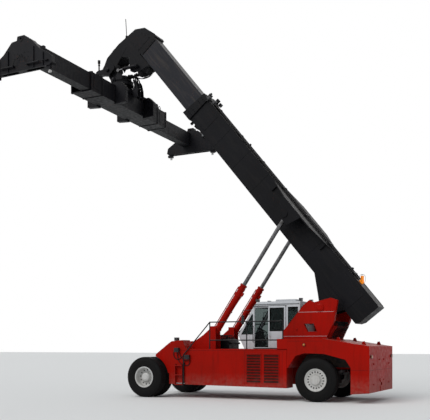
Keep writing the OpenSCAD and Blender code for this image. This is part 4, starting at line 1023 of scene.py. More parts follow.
stuffed("seat_cushion", (1.415, -0.235, floor_top + 0.325), (1.905, 0.235, floor_top + 0.435), 0.0,
    "chassis")
stuffed("seat_back", (1.415, -0.225, floor_top + 0.455), (1.515, 0.225, floor_top + 1.03),
    math.radians(-9), "chassis")
bm = bmesh.new()
plate(bm, (1.46, -0.19, floor_top), (1.84, 0.19, floor_top + 0.05), 8 * mm)
for k in range(5):
    grow = 0.012 * (k % 2)
    plate(bm, (1.50 - grow, -0.16 - grow, floor_top + 0.05 + 0.045 * k),
        (1.80 + grow, 0.16 + grow, floor_top + 0.095 + 0.045 * k), 6 * mm)
plate(bm, (1.43, -0.22, floor_top + 0.275), (1.89, 0.22, floor_top + 0.318), 10 * mm)
for side in (1, -1):
    plate(bm, (1.48, side * 0.262, floor_top + 0.565), (1.81, side * 0.326, floor_top + 0.615),
        18 * mm)
    bar(bm, (1.53, side * 0.285, floor_top + 0.40), (1.53, side * 0.285, floor_top + 0.57), 16 * mm)
    bar(bm, (1.53, side * 0.20, floor_top + 0.40), (1.53, side * 0.30, floor_top + 0.40), 16 * mm)
bar(bm, (1.78, -0.295, floor_top + 0.61), (1.78, -0.295, floor_top + 0.70), 9 * mm)
bar(bm, (1.78, -0.295, floor_top + 0.69), (1.78, -0.295, floor_top + 0.75), 22 * mm, tip=16 * mm)
piece(bm, "seat_base", lamp_plastic, "chassis", ("seat",))

# %% [markdown]
# ## Tower and pivot pins
# Two plates carry the boom. A weld runs along their edges, and the pivot pin is
# held by a cap with a ring of bolts. Thin pale lines cross each plate where its
# sheets meet, and hoses climb behind the cab to the boom's heel.

# %% Tower fittings
tower_line = [(1.40, 2.42), (0.64, 3.33), (0.43, 3.50), (0.25, 3.42), (-0.35, 3.56),
    (-0.58, 3.48), (-0.47, 2.80), (-0.19, 2.20)]
tower_window = [(0.14, 2.40), (0.50, 2.40), (0.64, 2.69), (0.26, 2.69)]
for side, word in ((1, "left"), (-1, "right")):
    bm = bmesh.new()
    y = side * 1.0
    turned(bm, [(0.0, 0.045 * side), (0.085, 0.045 * side), (0.105, 0.030 * side),
        (0.150, 0.028 * side), (0.155, 0.0), (0.0, 0.0)], (pivot_x, y, pivot_z), steps=40)
    bolts(bm, ring((pivot_x, side * 1.026, pivot_z), 0.128, 10), (0, side, 0), 10 * mm, 14 * mm)
    weld(bm, tower_line, y, 7 * mm)
    weld(bm, tower_window, y, 8 * mm, closed=True)
    plate(bm, (-0.20, side * 0.99, 2.145), (1.40, side * 1.03, 2.158), 4 * mm)
    bar(bm, (0.9, side * 0.93, 2.5), (0.9, side * 1.04, 2.5), 30 * mm)
    piece(bm, f"tower_fittings_{word}", red_enamel, "chassis")
    bm = bmesh.new()
    plate(bm, (-0.45, y, 3.085), (0.84, y + side * 2 * mm, 3.093), 0)
    plate(bm, (-0.22, y, 2.245), (1.38, y + side * 2 * mm, 2.253), 0)
    piece(bm, f"tower_seams_{word}", white_enamel, "chassis")
routes = [[(-0.25, 0.60 - 0.15 * k, 2.17), (-0.36, 0.60 - 0.15 * k, 2.40),
    (-0.49, 0.59 - 0.15 * k, 2.60), (-0.47, 0.58 - 0.148 * k, 2.73),
    (-0.37, 0.57 - 0.146 * k, 2.74), (-0.34, 0.57 - 0.146 * k, 2.61)] for k in range(9)]
tubes("tower_hoses", routes, 17 * mm, hose_rubber, "chassis")

# %% [markdown]
# ## The outer boom
# The outer boom is a welded box. Along its edges the web stands a little past
# the flange, which catches a line of light. The collar holds the wear pads with
# rows of bolts, three lamps and a tab stand on it, and the cylinders' pins end in
# caps with keeper plates on the wing's cheeks.

# %% Edges, collar and pins of the outer boom
web_y, collar_bolts = 0.388, [9.22 + 0.09 * k for k in range(3)]
bm = bmesh.new()
for side in (1, -1):
    for z in (0.49, 1.47):
        plate(bm, (-1.14, side * 0.385, z - 0.011), (9.12, side * 0.398, z + 0.011), 3 * mm,
            place=boom_place)
    # Doubler plates round the heel and behind the collar
    plate(bm, (-0.55, side * web_y, 0.62), (0.75, side * 0.402, 1.30), 5 * mm, place=boom_place)
    plate(bm, (8.35, side * web_y, 0.62), (9.12, side * 0.400, 1.34), 5 * mm, place=boom_place)
    for x in (1.9, 2.9, 5.2, 6.4, 7.6):
        plate(bm, (x - 0.006, side * web_y, 0.52), (x + 0.006, side * 0.396, 1.44), 2 * mm,
            place=boom_place)
    for z in (0.62, 0.80, 1.16, 1.34):
        bolts(bm, [(x, side * 0.45, z) for x in collar_bolts], (0, side, 0), 14 * mm, 20 * mm,
            place=boom_place)
    for z, way in ((1.53, 1), (0.43, -1)):
        bolts(bm, [(x, side * y, z) for x in collar_bolts for y in (0.12, 0.30)], (0, 0, way),
            14 * mm, 20 * mm, place=boom_place)
    # Pin caps of the lift cylinders, with their keeper plates
    turned(bm, [(0.0, 0.028 * side), (0.080, 0.028 * side), (0.098, 0.016 * side), (0.100, 0.0),
        (0.0, 0.0)], (3.40, side * 0.98, 1.09), steps=32, place=boom_place)
    plate(bm, (3.30, side * 0.981, 0.955), (3.50, side * 0.998, 0.995), 3 * mm, place=boom_place)
    bolts(bm, [(3.33, side * 0.996, 0.975), (3.47, side * 0.996, 0.975)], (0, side, 0), 10 * mm,
        12 * mm, place=boom_place)
    for x in (1.75, 4.65):
        plate(bm, (x - 0.05, side * 0.39, 1.16), (x + 0.05, side * 0.46, 1.44), 6 * mm,
            place=boom_place)
# A tab under the collar, and lifting eyes on top
plate(bm, (9.16, -0.05, 0.29), (9.24, 0.05, 0.43), 8 * mm, place=boom_place)
for x in (0.6, 6.9):
    for side in (1, -1):
        cut_plate(bm, [(x - 0.06, 1.468), (x + 0.06, 1.468), (x + 0.03, 1.55), (x - 0.03, 1.55)],
            side * 0.30, side * 0.32, place=boom_place)
piece(bm, "outer_boom_fittings", black_enamel, "boom_outer")
bm = bmesh.new()
glass = bmesh.new()
for x, y, z in ((9.12, 0.49, 1.56), (9.12, -0.49, 1.56), (8.86, 0.43, 1.60)):
    way = 1 if y > 0 else -1
    plate(bm, (x - 0.06, y - 0.07, z - 0.06), (x + 0.05, y + 0.07, z + 0.07), 10 * mm,
        place=boom_place)
    bar(bm, (x, y - way * 0.03, z - 0.12), (x, y - way * 0.03, z - 0.05), 12 * mm, place=boom_place)
    bar(bm, (x, y - way * 0.12, z - 0.12), (x, y + way * 0.02, z - 0.12), 12 * mm, place=boom_place)
    plate(glass, (x + 0.048, y - 0.056, z - 0.045), (x + 0.056, y + 0.056, z + 0.055), 3 * mm,
        place=boom_place)
bar(bm, (9.46, 0.0, 1.53), (9.46, 0.0, 1.63), 9 * mm, place=boom_place)
plate(bm, (9.43, -0.04, 1.60), (9.49, 0.04, 1.68), 8 * mm, place=boom_place)
piece(bm, "collar_lamps", lamp_plastic, "boom_outer")
piece(glass, "collar_lamp_lenses", clear_lens, "boom_outer")

# %% [markdown]
# ## The beacon
# The amber beacon stands upright on the boom's back, under two crossed hoops of
# thin rod that keep branches and ropes off it. The hoops are routed tubes.

# %% Beacon guard
upright = Matrix.Translation(boom_place @ Vector((-0.06, 0, 1.53)))
hoop_along = [(0.105, 0, -0.05), (0.115, 0, 0.08), (0.085, 0, 0.205), (0.0, 0, 0.245),
    (-0.085, 0, 0.205), (-0.115, 0, 0.08), (-0.105, 0, -0.02)]
hoop_across = [(0, 0.105, -0.02), (0, 0.115, 0.08), (0, 0.085, 0.20), (0, 0.0, 0.238),
    (0, -0.085, 0.20), (0, -0.115, 0.08), (0, -0.105, -0.02)]
tubes("beacon_guard", [hoop_along, hoop_across], 5 * mm, rail_enamel, "boom_outer", upright)
bm = bmesh.new()
turned(bm, [(0.0, 0.02), (0.068, 0.02), (0.070, -0.01), (0.0, -0.01)], (0, 0, 0.0), steps=28,
    axis=(0, 0, 1), place=upright)
for k in range(3):
    turned(bm, [(0.0545, 0.06 + 0.04 * k), (0.059, 0.064 + 0.04 * k), (0.059, 0.068 + 0.04 * k),
        (0.0545, 0.072 + 0.04 * k)], (0, 0, 0), steps=28, axis=(0, 0, 1), closed=True,
        place=upright)
piece(bm, "beacon_rings", amber_lens, "boom_outer")

# %% [markdown]
# ## Lift cylinders
# A hydraulic barrel is honed tube with a bolted gland where the rod comes out.
# Steel pipes run along it from the base, where hoses join them. The drawing is
# made along X from the base pin and turned to the cylinder's lean.

# %% Glands, pipes and pins of the lift cylinders
lift_x, lift_y, lift_z = 5.20, 0.8, 0.90
lift_base = Vector((lift_x, 0, lift_z))
lift_top = chassis_place.inverted() @ (boom_place @ Vector((3.40, 0, 1.09)))
lean = math.atan2(lift_top.z - lift_base.z, lift_top.x - lift_base.x)
lift_turn = Matrix.Rotation(-lean, 4, "Y")
for side, word in ((1, "left"), (-1, "right")):
    lift_place = chassis_place @ Matrix.Translation((lift_x, side * lift_y, lift_z)) @ lift_turn
    bm = bmesh.new()
    gland = [(0.076, 3.845), (0.118, 3.845), (0.128, 3.850), (0.134, 3.862), (0.134, 3.90),
        (0.118, 3.915), (0.088, 3.92), (0.076, 3.92)]
    turned(bm, gland, (0, 0, 0), steps=40, closed=True, axis=(1, 0, 0), place=lift_place)
    bolts(bm, [(3.898, 0.112 * math.cos(t), 0.112 * math.sin(t)) for t in turns(12)], (1, 0, 0),
        9 * mm, 22 * mm, place=lift_place)
    for x in (0.46, 3.58):
        plate(bm, (x - 0.07, -0.045, 0.105), (x + 0.07, 0.045, 0.175), 8 * mm, place=lift_place)
    for x in (1.2, 2.0, 2.8):
        turned(bm, [(0.1155, x - 0.02), (0.122, x - 0.02), (0.122, x + 0.02), (0.1155, x + 0.02)],
            (0, 0, 0), steps=32, closed=True, axis=(1, 0, 0), place=lift_place)
        plate(bm, (x - 0.025, -0.05, 0.112), (x + 0.025, 0.05, 0.144), 5 * mm, place=lift_place)
    piece(bm, f"lift_gland_{word}", red_enamel, f"lift_barrel_{word}")
    routes = [[(0.50, y, 0.150), (0.75, y, 0.129), (2.0, y, 0.127), (3.25, y, 0.129),
        (3.55, y, 0.150)] for y in (-0.024, 0.024)]
    tubes(f"lift_pipes_{word}", routes, 11 * mm, red_enamel, f"lift_barrel_{word}", lift_place)
    # The pin caps are dark iron, darkened as painted shade low on the chassis
    bm = bmesh.new()
    for way in (1, -1):
        base_y = side * lift_y + way * 0.18
        turned(bm, [(0.0, 0.022 * way), (0.075, 0.022 * way), (0.090, 0.010 * way), (0.090, 0.0),
            (0.0, 0.0)], (lift_x, base_y, lift_z), steps=28)
        bolts(bm, ring((lift_x, base_y + way * 0.018, lift_z), 0.055, 4, 0.78), (0, way, 0), 8 * mm,
            9 * mm)
    piece(bm, f"lift_pin_caps_{word}", dark_iron_and_painted_shade, "chassis")

# %% [markdown]
# ## The boom's head
# The head is a gooseneck of cut plate that ends in a fork round the tilt pin.
# Covers with bolts close its sides, caps hold its pins, and two lamps under the
# nose light the load. The exposed sides of the inner boom stay bare, since they
# slide into the collar.

# %% Covers, pin caps and nose lamps
head_line = [(12.90, 1.47), (12.99, 1.49), (13.54, 1.34), (13.83, 1.01), (13.98, 0.10),
    (13.97, -0.62), (13.86, -0.86)]
bm = bmesh.new()
glass = bmesh.new()
for side in (1, -1):
    y = side * 0.33
    cut_plate(bm, [(13.05, 0.55), (13.50, 0.55), (13.68, 0.85), (13.50, 1.18), (13.05, 1.28)], y,
        y + side * 8 * mm, place=boom_place)
    spots = [(13.10, 0.60), (13.28, 0.60), (13.46, 0.60), (13.62, 0.85), (13.48, 1.12),
        (13.28, 1.17), (13.10, 1.22), (13.10, 0.92)]
    bolts(bm, [(x, y + side * 8 * mm, z) for x, z in spots], (0, side, 0), 10 * mm, 12 * mm,
        place=boom_place)
    cut_plate(bm, [(13.36, -0.60), (13.86, -0.52), (13.92, 0.10), (13.60, 0.30)], y,
        y + side * 6 * mm, place=boom_place)
    turned(bm, [(0.0, 0.026 * side), (0.060, 0.026 * side), (0.078, 0.014 * side), (0.080, 0.0),
        (0.0, 0.0)], (13.59, side * 0.37, -0.92), steps=28, place=boom_place)
    bolts(bm, ring((13.59, side * 0.394, -0.92), 0.045, 4, 0.6), (0, side, 0), 8 * mm, 9 * mm,
        place=boom_place)
    turned(bm, [(0.0, 0.020 * side), (0.045, 0.020 * side), (0.058, 0.010 * side), (0.060, 0.0),
        (0.0, 0.0)], (12.60, side * 0.49, 0.15), steps=24, place=boom_place)
    weld(bm, head_line, side * 0.325, 9 * mm, place=boom_place)
    plate(bm, (12.78, side * 0.322, 0.60), (12.90, side * 0.345, 1.38), 5 * mm, place=boom_place)
    bolts(bm, [(12.84, side * 0.344, z) for z in (0.68, 0.85, 1.02, 1.19, 1.32)], (0, side, 0),
        12 * mm, 14 * mm, place=boom_place)
for y in (-0.20, 0.20):
    plate(bm, (13.975, y - 0.07, -0.30), (14.05, y + 0.07, -0.16), 10 * mm, place=boom_place)
    plate(glass, (13.985, y - 0.058, -0.308), (14.04, y + 0.058, -0.298), 2 * mm, place=boom_place)
piece(bm, "head_fittings", black_enamel, "boom_inner")
piece(glass, "nose_lamp_lenses", clear_lens, "boom_inner")

# %% [markdown]
# ## Hoses of the head and the carriage
# The hoses are fixed at both ends. Where a run crosses a joint, its tube is a
# mesh that rides on neither body. The bundle under the head hangs in a shallow
# loop, and the one behind the carriage bulges backwards, as wire-braided hose
# does when its ends come near.

# %% Hose bundles across the tilt and the slewing joint
loops = [[(7.46, y, 13.18), (7.44, y, 13.02), (7.52 + 0.02 * k, y, 12.86 - 0.015 * k),
    (7.80, y, 12.76 - 0.02 * k), (8.15, y, 12.80), (8.42, y, 12.86), (8.57, y, 12.84)]
    for k, y in enumerate((-0.13, -0.08, -0.02, 0.04, 0.10))]
head_loops = tubes("head_hoses", loops, 13 * mm, hose_rubber, "", flexible=True)
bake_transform(head_loops)
loops = []
for k in range(9):
    y = -0.24 + 0.045 * k
    out = 0.045 * math.sin(k * 2.1)
    loops.append([(8.57, y * 0.5, 12.84), (8.42, y * 0.8, 12.90), (8.27 + out * 0.5, y, 12.86),
        (8.17 - out, y, 12.66), (8.17 + out, y, 12.45), (8.24, y, 12.30), (8.34, y, 12.262)])
carriage_loops = tubes("carriage_hoses", loops, 20 * mm, hose_rubber, "", flexible=True)
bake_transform(carriage_loops)
loops = []
for k in range(5):
    x = 8.66 + 0.09 * k
    loops.append([(x, -1.10, 12.262), (x + 0.01, -1.17, 12.33), (x, -1.34, 12.40 + 0.012 * k),
        (x - 0.01, -1.62, 12.43 + 0.01 * k), (x, -1.84, 12.40), (x, -1.95, 12.34)])
frame_loops = tubes("shift_hoses", loops, 15 * mm, hose_rubber, "", flexible=True)
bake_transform(frame_loops)

# %% [markdown]
# ## Tilt cylinders, yoke and slewing frame
# The small cylinders beside the head damp the swing of the load. The slewing
# ring is bolted to its frame, and two geared motors on the frame turn it.

# %% Carriage fittings
strut_top = boom_place @ Vector((12.60, 0, 0.15))
strut_low = chassis_place @ Vector((8.752, 0, 13.05))
strut_lean = math.atan2(strut_low.z - strut_top.z, strut_low.x - strut_top.x)
bm = bmesh.new()
for side in (1, -1):
    strut_place = (Matrix.Translation((strut_top.x, side * 0.43, strut_top.z))
        @ Matrix.Rotation(-strut_lean, 4, "Y"))
    turned(bm, [(0.036, 0.575), (0.066, 0.575), (0.072, 0.585), (0.072, 0.615), (0.060, 0.625),
        (0.036, 0.625)], (0, 0, 0), steps=28, closed=True, axis=(1, 0, 0), place=strut_place)
    for x in (0.14, 0.54):
        plate(bm, (x - 0.03, -0.022, 0.055), (x + 0.03, 0.022, 0.095), 5 * mm, place=strut_place)
    bar(bm, (0.16, 0, 0.085), (0.52, 0, 0.085), 8 * mm, place=strut_place)
piece(bm, "tilt_glands", spreader_enamel, "tilt_barrels")
bm = bmesh.new()
for side in (1, -1):
    turned(bm, [(0.0, 0.018 * side), (0.042, 0.018 * side), (0.056, 0.008 * side), (0.058, 0.0),
        (0.0, 0.0)], (8.752, side * 0.39, 13.05), steps=24)
    for x in (8.62, 8.78, 8.94, 9.10):
        plate(bm, (x - 0.008, side * 0.166, 12.705), (x + 0.008, side * 0.235,
            12.78 + 0.05 * (x > 8.7)), 2 * mm)
turned(bm, [(0.425, 12.668), (0.455, 12.668), (0.458, 12.674), (0.458, 12.698), (0.425, 12.700)],
    (slew_x, 0, 0), steps=48, closed=True, axis=(0, 0, 1))
plate(bm, (9.30, -0.128, 13.16), (9.98, 0.128, 13.172), 3 * mm)
bar(bm, (10.002, 0, 13.60), (10.002, 0, 13.66), 48 * mm, sides=20, tip=30 * mm)
piece(bm, "yoke_fittings", spreader_enamel, "yoke")
bm = bmesh.new()
spots = [(slew_x + 0.453 * math.cos(t), 0.453 * math.sin(t), 12.53) for t in turns(24)]
bolts(bm, spots, (0, 0, -1), 12 * mm, 16 * mm)
for side in (1, -1):
    y = side * 0.62
    turned(bm, [(0.0, 12.272), (0.115, 12.272), (0.115, 12.30), (0.095, 12.31), (0.095, 12.46),
        (0.080, 12.48), (0.080, 12.66), (0.065, 12.70), (0.0, 12.705)], (slew_x, y, 0), steps=28,
        axis=(0, 0, 1))
    plate(bm, (8.80, y + side * 0.07, 12.50), (8.90, y + side * 0.13, 12.62), 8 * mm)
    bolts(bm, [(slew_x + 0.104 * math.cos(t), y + 0.104 * math.sin(t), 12.30)
        for t in turns(8, math.pi / 8)], (0, 0, 1), 7 * mm, 9 * mm)
    for way in (1, -1):
        x = slew_x + way * 0.90
        for low, high in ((11.50, 11.58), (11.95, 12.03)):
            plate(bm, (x - 0.006, side * 0.96, low), (x + way * 0.010, side * 1.14, high), 2 * mm)
        bolts(bm, [(x, side * y0, z) for y0 in (0.99, 1.11) for z in (11.66, 11.76, 11.86)],
            (way, 0, 0), 11 * mm, 14 * mm)
    plate(bm, (8.31, side * 1.13, 12.268), (9.39, side * 1.15, 12.30), 4 * mm)
# Guides of cut plate that the hose bundle bulges over, with rods between them
guide = [(8.30, 12.265), (8.30, 12.17), (8.24, 12.02), (8.10, 11.93), (8.03, 12.05), (8.05, 12.33),
    (8.12, 12.60), (8.20, 12.72), (8.27, 12.68), (8.21, 12.50), (8.18, 12.33)]
for y in (-0.36, -0.12, 0.10):
    cut_plate(bm, guide, y, y + 0.016, 3 * mm)
for x, z in ((8.09, 12.05), (8.09, 12.33), (8.17, 12.60)):
    bar(bm, (x, -0.36, z), (x, 0.116, z), 16 * mm)
plate(bm, (8.26, -0.37, 12.19), (8.34, 0.13, 12.266), 6 * mm)
piece(bm, "rotator_fittings", spreader_enamel, "rotator")

# %% [markdown]
# ## The spreader
# The main frame is a box that the arms slide in. Its mouths are stiffened with
# collars and bolted pads. On the end beams, small cylinders turn the locks
# through rods, lamps look along the load, and the bare edges are worn to
# rust. The arms themselves stay smooth, because they go into the frame.

# %% Fittings of the main frame
frame_top, frame_low = 12.18, 11.50
bm = bmesh.new()
for side in (1, -1):
    for y0, y1 in ((2.70, 2.785), (2.02, 2.06)):
        for way in (1, -1):
            x = slew_x + way * 0.45
            plate(bm, (x, side * y0, frame_low - 0.016),
                (x + way * 0.022, side * y1, frame_top + 0.016), 4 * mm)
        plate(bm, (slew_x - 0.46, side * y0, frame_low - 0.02),
            (slew_x + 0.46, side * y1, frame_low), 4 * mm)
    plate(bm, (slew_x - 0.46, side * 2.70, frame_top),
        (slew_x + 0.46, side * 2.785, frame_top + 0.02), 4 * mm)
    for way in (1, -1):
        x = slew_x + way * 0.472
        bolts(bm, [(x, side * 2.742, z) for z in (11.58, 11.70, 11.84, 11.98, 12.10)], (way, 0, 0),
            11 * mm, 14 * mm)
        plate(bm, (slew_x + way * 0.452, side * 2.20, 11.62),
            (slew_x + way * 0.462, side * 2.60, 12.06), 3 * mm)
        bolts(bm, [(slew_x + way * 0.462, side * y, z) for y in (2.24, 2.40, 2.56)
            for z in (11.66, 12.02)], (way, 0, 0), 8 * mm, 9 * mm)
    bolts(bm, [(slew_x - 0.36 + 0.12 * k, side * 2.742, frame_top + 0.02) for k in range(7)],
        (0, 0, 1), 11 * mm, 13 * mm)
# Solenoids and fittings on the valve block, and the tank's filler cap
for k in range(6):
    x = slew_x - 0.25 + 0.1 * k
    bar(bm, (x, -2.35, 12.36), (x, -2.43, 12.36), 22 * mm)
    plate(bm, (x - 0.018, -2.47, 12.335), (x + 0.018, -2.43, 12.385), 4 * mm)
    bar(bm, (x, -1.95, 12.36), (x, -1.92, 12.36), 14 * mm, sides=6)
bar(bm, (slew_x - 0.11, -2.55, 12.36), (slew_x - 0.11, -2.55, 12.40), 32 * mm, sides=20)
piece(bm, "frame_fittings", spreader_enamel, "spreader_frame")
valve_routes = [[(slew_x - 0.25 + 0.1 * k, -2.46, 12.36),
    (slew_x - 0.25 + 0.1 * k, -2.53, 12.42 + 0.01 * k), (slew_x - 0.23 + 0.09 * k, -2.66, 12.38),
    (slew_x - 0.2 + 0.08 * k, -2.72, 12.22)] for k in range(6)]
tank_routes = [[(slew_x + 0.38 * way, 1.99, 12.22), (slew_x + 0.36 * way, 1.97, 12.30),
    (slew_x + 0.2 * way, 2.05, 12.34), (slew_x + 0.1 * way, 2.3, 12.24),
    (slew_x + 0.08 * way, 2.7, 12.215)] for way in (1, -1)]
tubes("valve_hoses", valve_routes + tank_routes, 13 * mm, hose_rubber, "spreader_frame")

# %% Fittings of the end beams
beam_in, beam_out, lock_z = 5.872, 6.112, 11.36
beam_line = [(-1.30, 11.28), (-1.25, 11.52), (-0.76, 11.83), (-0.40, 12.20), (-0.18, 12.22),
    (-0.15, 12.36), (0.15, 12.36), (0.18, 12.22), (0.40, 12.20), (0.76, 11.83), (1.25, 11.52),
    (1.30, 11.28)]
for side, word in ((1, "left"), (-1, "right")):
    bm = bmesh.new()
    glass = bmesh.new()
    for y in (beam_in + 0.006, beam_out - 0.004):
        weld(bm, [(slew_x + x, z) for x, z in beam_line], side * y, 8 * mm)
    # Stiffening ribs and a doubler round the lifting eye, on the outer face
    for x in (-0.95, -0.55, 0.55, 0.95):
        top = 11.76 if abs(x) > 0.8 else 12.02
        cut_plate(bm, [(slew_x + x - 0.01, 11.22), (slew_x + x + 0.01, 11.22),
            (slew_x + x + 0.01, top - 0.1), (slew_x + x - 0.01, top - 0.1)], side * beam_out,
            side * (beam_out + 0.04), 2 * mm)
    turned(bm, [(0.038, 0.0), (0.090, 0.0), (0.090, 0.014 * side), (0.038, 0.014 * side)],
        (slew_x, side * beam_out, 12.27), steps=28, closed=True)
    for way in (1, -1):
        # The lock's cylinder, its rod and its lever
        base, tip = slew_x + way * 0.30, slew_x + way * 0.82
        y = side * (beam_out + 0.055)
        bar(bm, (base, y, lock_z), (tip, y, lock_z), 30 * mm, sides=20)
        bar(bm, (tip, y, lock_z), (slew_x + way * 1.06, y, lock_z), 12 * mm)
        plate(bm, (base - 0.02, side * beam_out, 11.32),
            (base + 0.02, side * (beam_out + 0.09), 11.40), 4 * mm)
        plate(bm, (slew_x + way * 1.04, side * (beam_out - 0.01), 11.345),
            (slew_x + way * 1.17, side * (beam_out + 0.075), 11.375), 5 * mm)
        bar(bm, (slew_x + way * 1.13, side * (beam_out - 0.04), 11.20),
            (slew_x + way * 1.13, side * (beam_out - 0.04), 11.56), 28 * mm)
        plate(bm, (slew_x + way * 1.02 - 0.11, side * (beam_in - 0.008), 11.22),
            (slew_x + way * 1.02 + 0.11, side * beam_in, 11.46), 3 * mm)
        plate(bm, (slew_x + way * 0.72 - 0.07, side * (beam_in - 0.09), 11.86),
            (slew_x + way * 0.72 + 0.07, side * (beam_in + 0.02), 11.99), 10 * mm)
        plate(glass, (slew_x + way * 0.72 - 0.056, side * (beam_in - 0.098), 11.872),
            (slew_x + way * 0.72 + 0.056, side * (beam_in - 0.088), 11.978), 2 * mm)
        # Landing pin beside each lock
        plate(bm, (slew_x + way * 1.24, side * 5.94, 11.10),
            (slew_x + way * 1.29, side * 6.06, 11.20), 6 * mm)
    bolts(bm, [(slew_x + x, side * beam_out, z) for x in (-0.30, -0.15, 0.15, 0.30)
        for z in (11.62, 11.78)], (0, side, 0), 11 * mm, 14 * mm)
    piece(bm, f"end_beam_fittings_{word}", spreader_enamel, f"spreader_arm_{word}")
    piece(glass, f"end_beam_lenses_{word}", clear_lens, f"spreader_arm_{word}")
    route = ((0.28, 0.07, 11.40), (0.22, 0.08, 11.52), (0.08, 0.05, 11.62), (0.04, 0.02, 11.72))
    routes = [[(slew_x + way * x, side * (beam_out + y), z) for x, y, z in route]
        for way in (1, -1)]
    tubes(f"end_beam_hoses_{word}", routes, 9 * mm, hose_rubber, f"spreader_arm_{word}")

# %% [markdown]
# ## Tail, deck, rails and exhaust
# The counterweight is cast blocks under plate: their joints show at the back,
# with eyes to lift them by and a pin in the tow jaw. The walkways have a raised
# pattern against slipping, and the rails stand on bolted feet.

# %% Tail and tow pin
bm = bmesh.new()
for y in (-0.62, 0.62):
    plate(bm, (-1.852, y - 3 * mm, 0.38), (-1.849, y + 3 * mm, 1.86), 0)
plate(bm, (-1.852, -1.56, 1.098), (-1.849, 1.56, 1.104), 0)
for side in (1, -1):
    plate(bm, (-1.80, side * 1.599, 1.098), (-1.23, side * 1.6015, 1.104), 0)
    plate(bm, (-0.24, side * 1.599, 2.07), (1.02, side * 1.6015, 2.076), 0)
piece(bm, "tail_joints", gasket_rubber_and_gap_shade, "chassis")
bm = bmesh.new()
for side in (1, -1):
    for y, z in ((0.30, 0.75), (0.30, 1.45), (1.05, 0.62), (1.05, 1.30)):
        bolts(bm, [(-1.85, side * y, z)], (-1, 0, 0), 26 * mm, 26 * mm)
    for x, z in ((-0.62, 2.088), (-1.50, 1.951)):
        cut_plate(bm, [(x - 0.09, z - 0.01), (x + 0.09, z - 0.04), (x + 0.04, z + 0.11),
            (x - 0.03, z + 0.12)], side * 0.98, side * 1.02, 6 * mm)
        turned(bm, [(0.026, -0.006 * side), (0.042, -0.006 * side), (0.042, 0.046 * side),
            (0.026, 0.046 * side)], (x + 0.005, side * 0.98, z + 0.06), steps=20, closed=True)
    plate(bm, (-1.84, side * 1.598, 0.36), (-1.24, side * 1.612, 0.44), 3 * mm)
bar(bm, (-1.74, 0, 0.44), (-1.74, 0, 0.84), 24 * mm, sides=24)
bar(bm, (-1.74, 0, 0.78), (-1.74, 0, 0.83), 40 * mm, sides=24)
for low, high in ((0.36, 0.56), (0.66, 0.80)):
    plate(bm, (-1.866, -0.20, low), (-1.848, 0.20, high), 5 * mm)
bolts(bm, [(-1.866, y, z) for y in (-0.16, 0.16) for z in (0.42, 0.50, 0.73)], (-1, 0, 0), 12 * mm,
    14 * mm)
piece(bm, "tail_fittings", red_enamel, "chassis")

# %% Walkway pattern, rail feet and step treads
bm = bmesh.new()
pitch, lozenge, walk_end = 62 * mm, 17 * mm, 5.35
for side in (1, -1):
    for i in range(44):
        for j in range(6):
            x, y = 2.68 + pitch * i, side * (1.17 + pitch * j)
            if x < walk_end:
                lean_way = 1 if (i + j) % 2 else -1
                spot = Matrix.Translation((x, y, deck_z))
                turned_spot = spot @ Matrix.Rotation(math.pi / 4 * lean_way, 4, "Z")
                plate(bm, (-lozenge, -3.5 * mm, -mm), (lozenge, 3.5 * mm, 2.5 * mm), 0,
                    place=chassis_place @ turned_spot)
piece(bm, "walkway_pattern", red_enamel, "chassis")
bm = bmesh.new()
for side in (1, -1):
    for x, z in ((1.19, 2.15), (2.559, 1.80), (4.025, 1.80)):
        plate(bm, (x - 0.05, side * 1.562 - 0.036, z),
            (x + 0.05, side * 1.562 + 0.036, z + 10 * mm), 2 * mm)
        bolts(bm, [(x + dx, side * 1.562, z + 10 * mm) for dx in (-0.036, 0.036)], (0, 0, 1),
            6 * mm, 8 * mm)
    for z in (0.505, 0.855, 1.205):
        for k in range(5):
            bar(bm, (5.115 + 0.06 * k, side * 1.66, z), (5.115 + 0.06 * k, side * 1.66, z + 5 * mm),
                14 * mm, sides=10, tip=10 * mm)
piece(bm, "rail_feet", rail_enamel, "chassis")

# %% Exhaust bands and rain cap
pipe_x, pipe_y = 2.60, -1.25
bm = bmesh.new()
for z in (1.95, 2.30, 2.62):
    turned(bm, [(0.1105, z), (0.118, z), (0.118, z + 0.035), (0.1105, z + 0.035)],
        (pipe_x, pipe_y, 0), steps=32, closed=True, axis=(0, 0, 1))
    plate(bm, (pipe_x - 0.02, pipe_y + 0.112, z), (pipe_x + 0.02, pipe_y + 0.15, z + 0.035), 3 * mm)
# The guard's holes are discs of painted shade on its skin, in five rows
for turn in turns(14):
    for z in (2.05, 2.13, 2.21, 2.42, 2.50):
        bar(bm, *[(pipe_x + r * math.cos(turn), pipe_y + r * math.sin(turn), z)
            for r in (0.108, 0.113)], 14 * mm, sides=8)
lid_turn = Matrix.Rotation(math.radians(-24), 4, "Y")
lid = chassis_place @ Matrix.Translation((2.545, pipe_y, 3.205)) @ lid_turn
turned(bm, [(0.0, 0.0), (0.064, 0.0), (0.066, 0.006), (0.0, 0.012)], (0.058, 0, 0), steps=28,
    axis=(0, 0, 1), place=lid)
bar(bm, (0, -0.05, 0), (0, 0.05, 0), 8 * mm, place=lid)
piece(bm, "exhaust_fittings", dark_iron_and_painted_shade, "chassis")
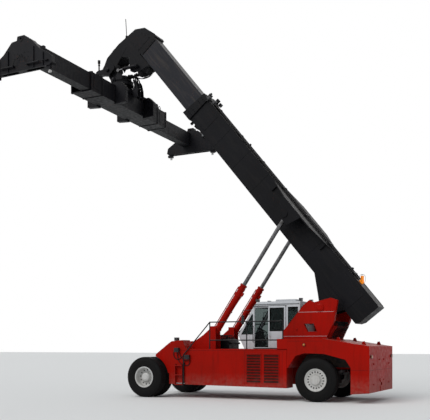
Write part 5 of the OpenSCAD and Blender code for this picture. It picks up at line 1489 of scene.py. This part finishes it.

# %% [markdown]
# ## Axles, valves and the hoses of the chassis
# The planetary hubs, the kingpins and the steering cylinder are bolted, and
# hoses feed the brakes, the steering and the lift cylinders. The hose at each
# lift cylinder's foot is a mesh that rides on no body.

# %% Bolts of the axles and kingpins
steer_x, steer_z, kingpin_y = -0.28, 0.985, 1.05
# Dark iron, darkened as painted shade under the machine
bm = bmesh.new()
for side in (1, -1):
    turned(bm, [(0.078, 0.425 * side), (0.088, 0.428 * side), (0.088, 0.462 * side),
        (0.044, 0.466 * side), (0.042, 0.430 * side)], (steer_x, 0, steer_z), steps=28, closed=True)
    bolts(bm, ring((steer_x, side * 0.462, steer_z), 0.068, 8), (0, side, 0), 7 * mm, 9 * mm)
    for z, way in ((0.96, 1), (0.54, -1)):
        bolts(bm, [(0.085 * math.cos(t), side * kingpin_y + 0.085 * math.sin(t), z)
            for t in (0.8, 2.3, 3.9, 5.5)], (0, 0, way), 8 * mm, 9 * mm)
    turned(bm, [(0.192, 0.62 * side), (0.225, 0.62 * side), (0.225, 0.66 * side),
        (0.192, 0.66 * side)], (front_x, 0, tyre_r), steps=36, closed=True)
    bolts(bm, ring((front_x, side * 0.62, tyre_r), 0.208, 16), (0, -side, 0), 9 * mm, 11 * mm)
turned(bm, [(0.302, -0.012), (0.312, -0.012), (0.312, 0.012), (0.302, 0.012)], (front_x, 0, tyre_r),
    steps=40, closed=True, axis=(1, 0, 0))
piece(bm, "axle_fittings", dark_iron_and_painted_shade, "chassis")
steer_line = ((-0.28, 0.36, 1.06), (-0.22, 0.34, 1.13), (-0.05, 0.30, 1.15), (0.2, 0.28, 1.10),
    (0.6, 0.26, 1.06))
brake_line = ((6.15, 0.34, 1.0), (6.3, 0.42, 1.02), (6.45, 0.55, 1.0), (6.53, 0.62, 0.96))
routes = [[(x, side * y, z) for x, y, z in line] for line in (steer_line, brake_line)
    for side in (1, -1)]
valve_routes = [[(3.98 + 0.03 * k, -0.36 + 0.09 * k, 2.18),
    (3.99 + 0.03 * k, -0.36 + 0.09 * k, 2.27), (4.16, -0.38 + 0.095 * k, 2.31),
    (4.33, -0.40 + 0.10 * k, 2.20), (4.40, -0.42 + 0.105 * k, 2.06)] for k in range(9)]
tubes("chassis_hoses", routes + valve_routes, 14 * mm, hose_rubber, "chassis")
for side, word in ((1, "left"), (-1, "right")):
    lift_place = chassis_place @ Matrix.Translation((lift_x, side * lift_y, lift_z)) @ lift_turn
    home = chassis_place.inverted() @ lift_place
    port = home @ Vector((0.46, 0, 0.18))
    loops = [[(4.62, side * 0.74 + dy, 0.90), (4.66, side * 0.74 + dy, 1.12),
        (4.80, side * 0.77 + dy, 1.34), (port.x - 0.10, port.y + dy, port.z + 0.06),
        (port.x + 0.01, port.y + dy, port.z)] for dy in (-0.024, 0.024)]
    feeds = tubes(f"lift_hoses_{word}", loops, 13 * mm, hose_rubber, "", flexible=True)
    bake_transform(feeds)
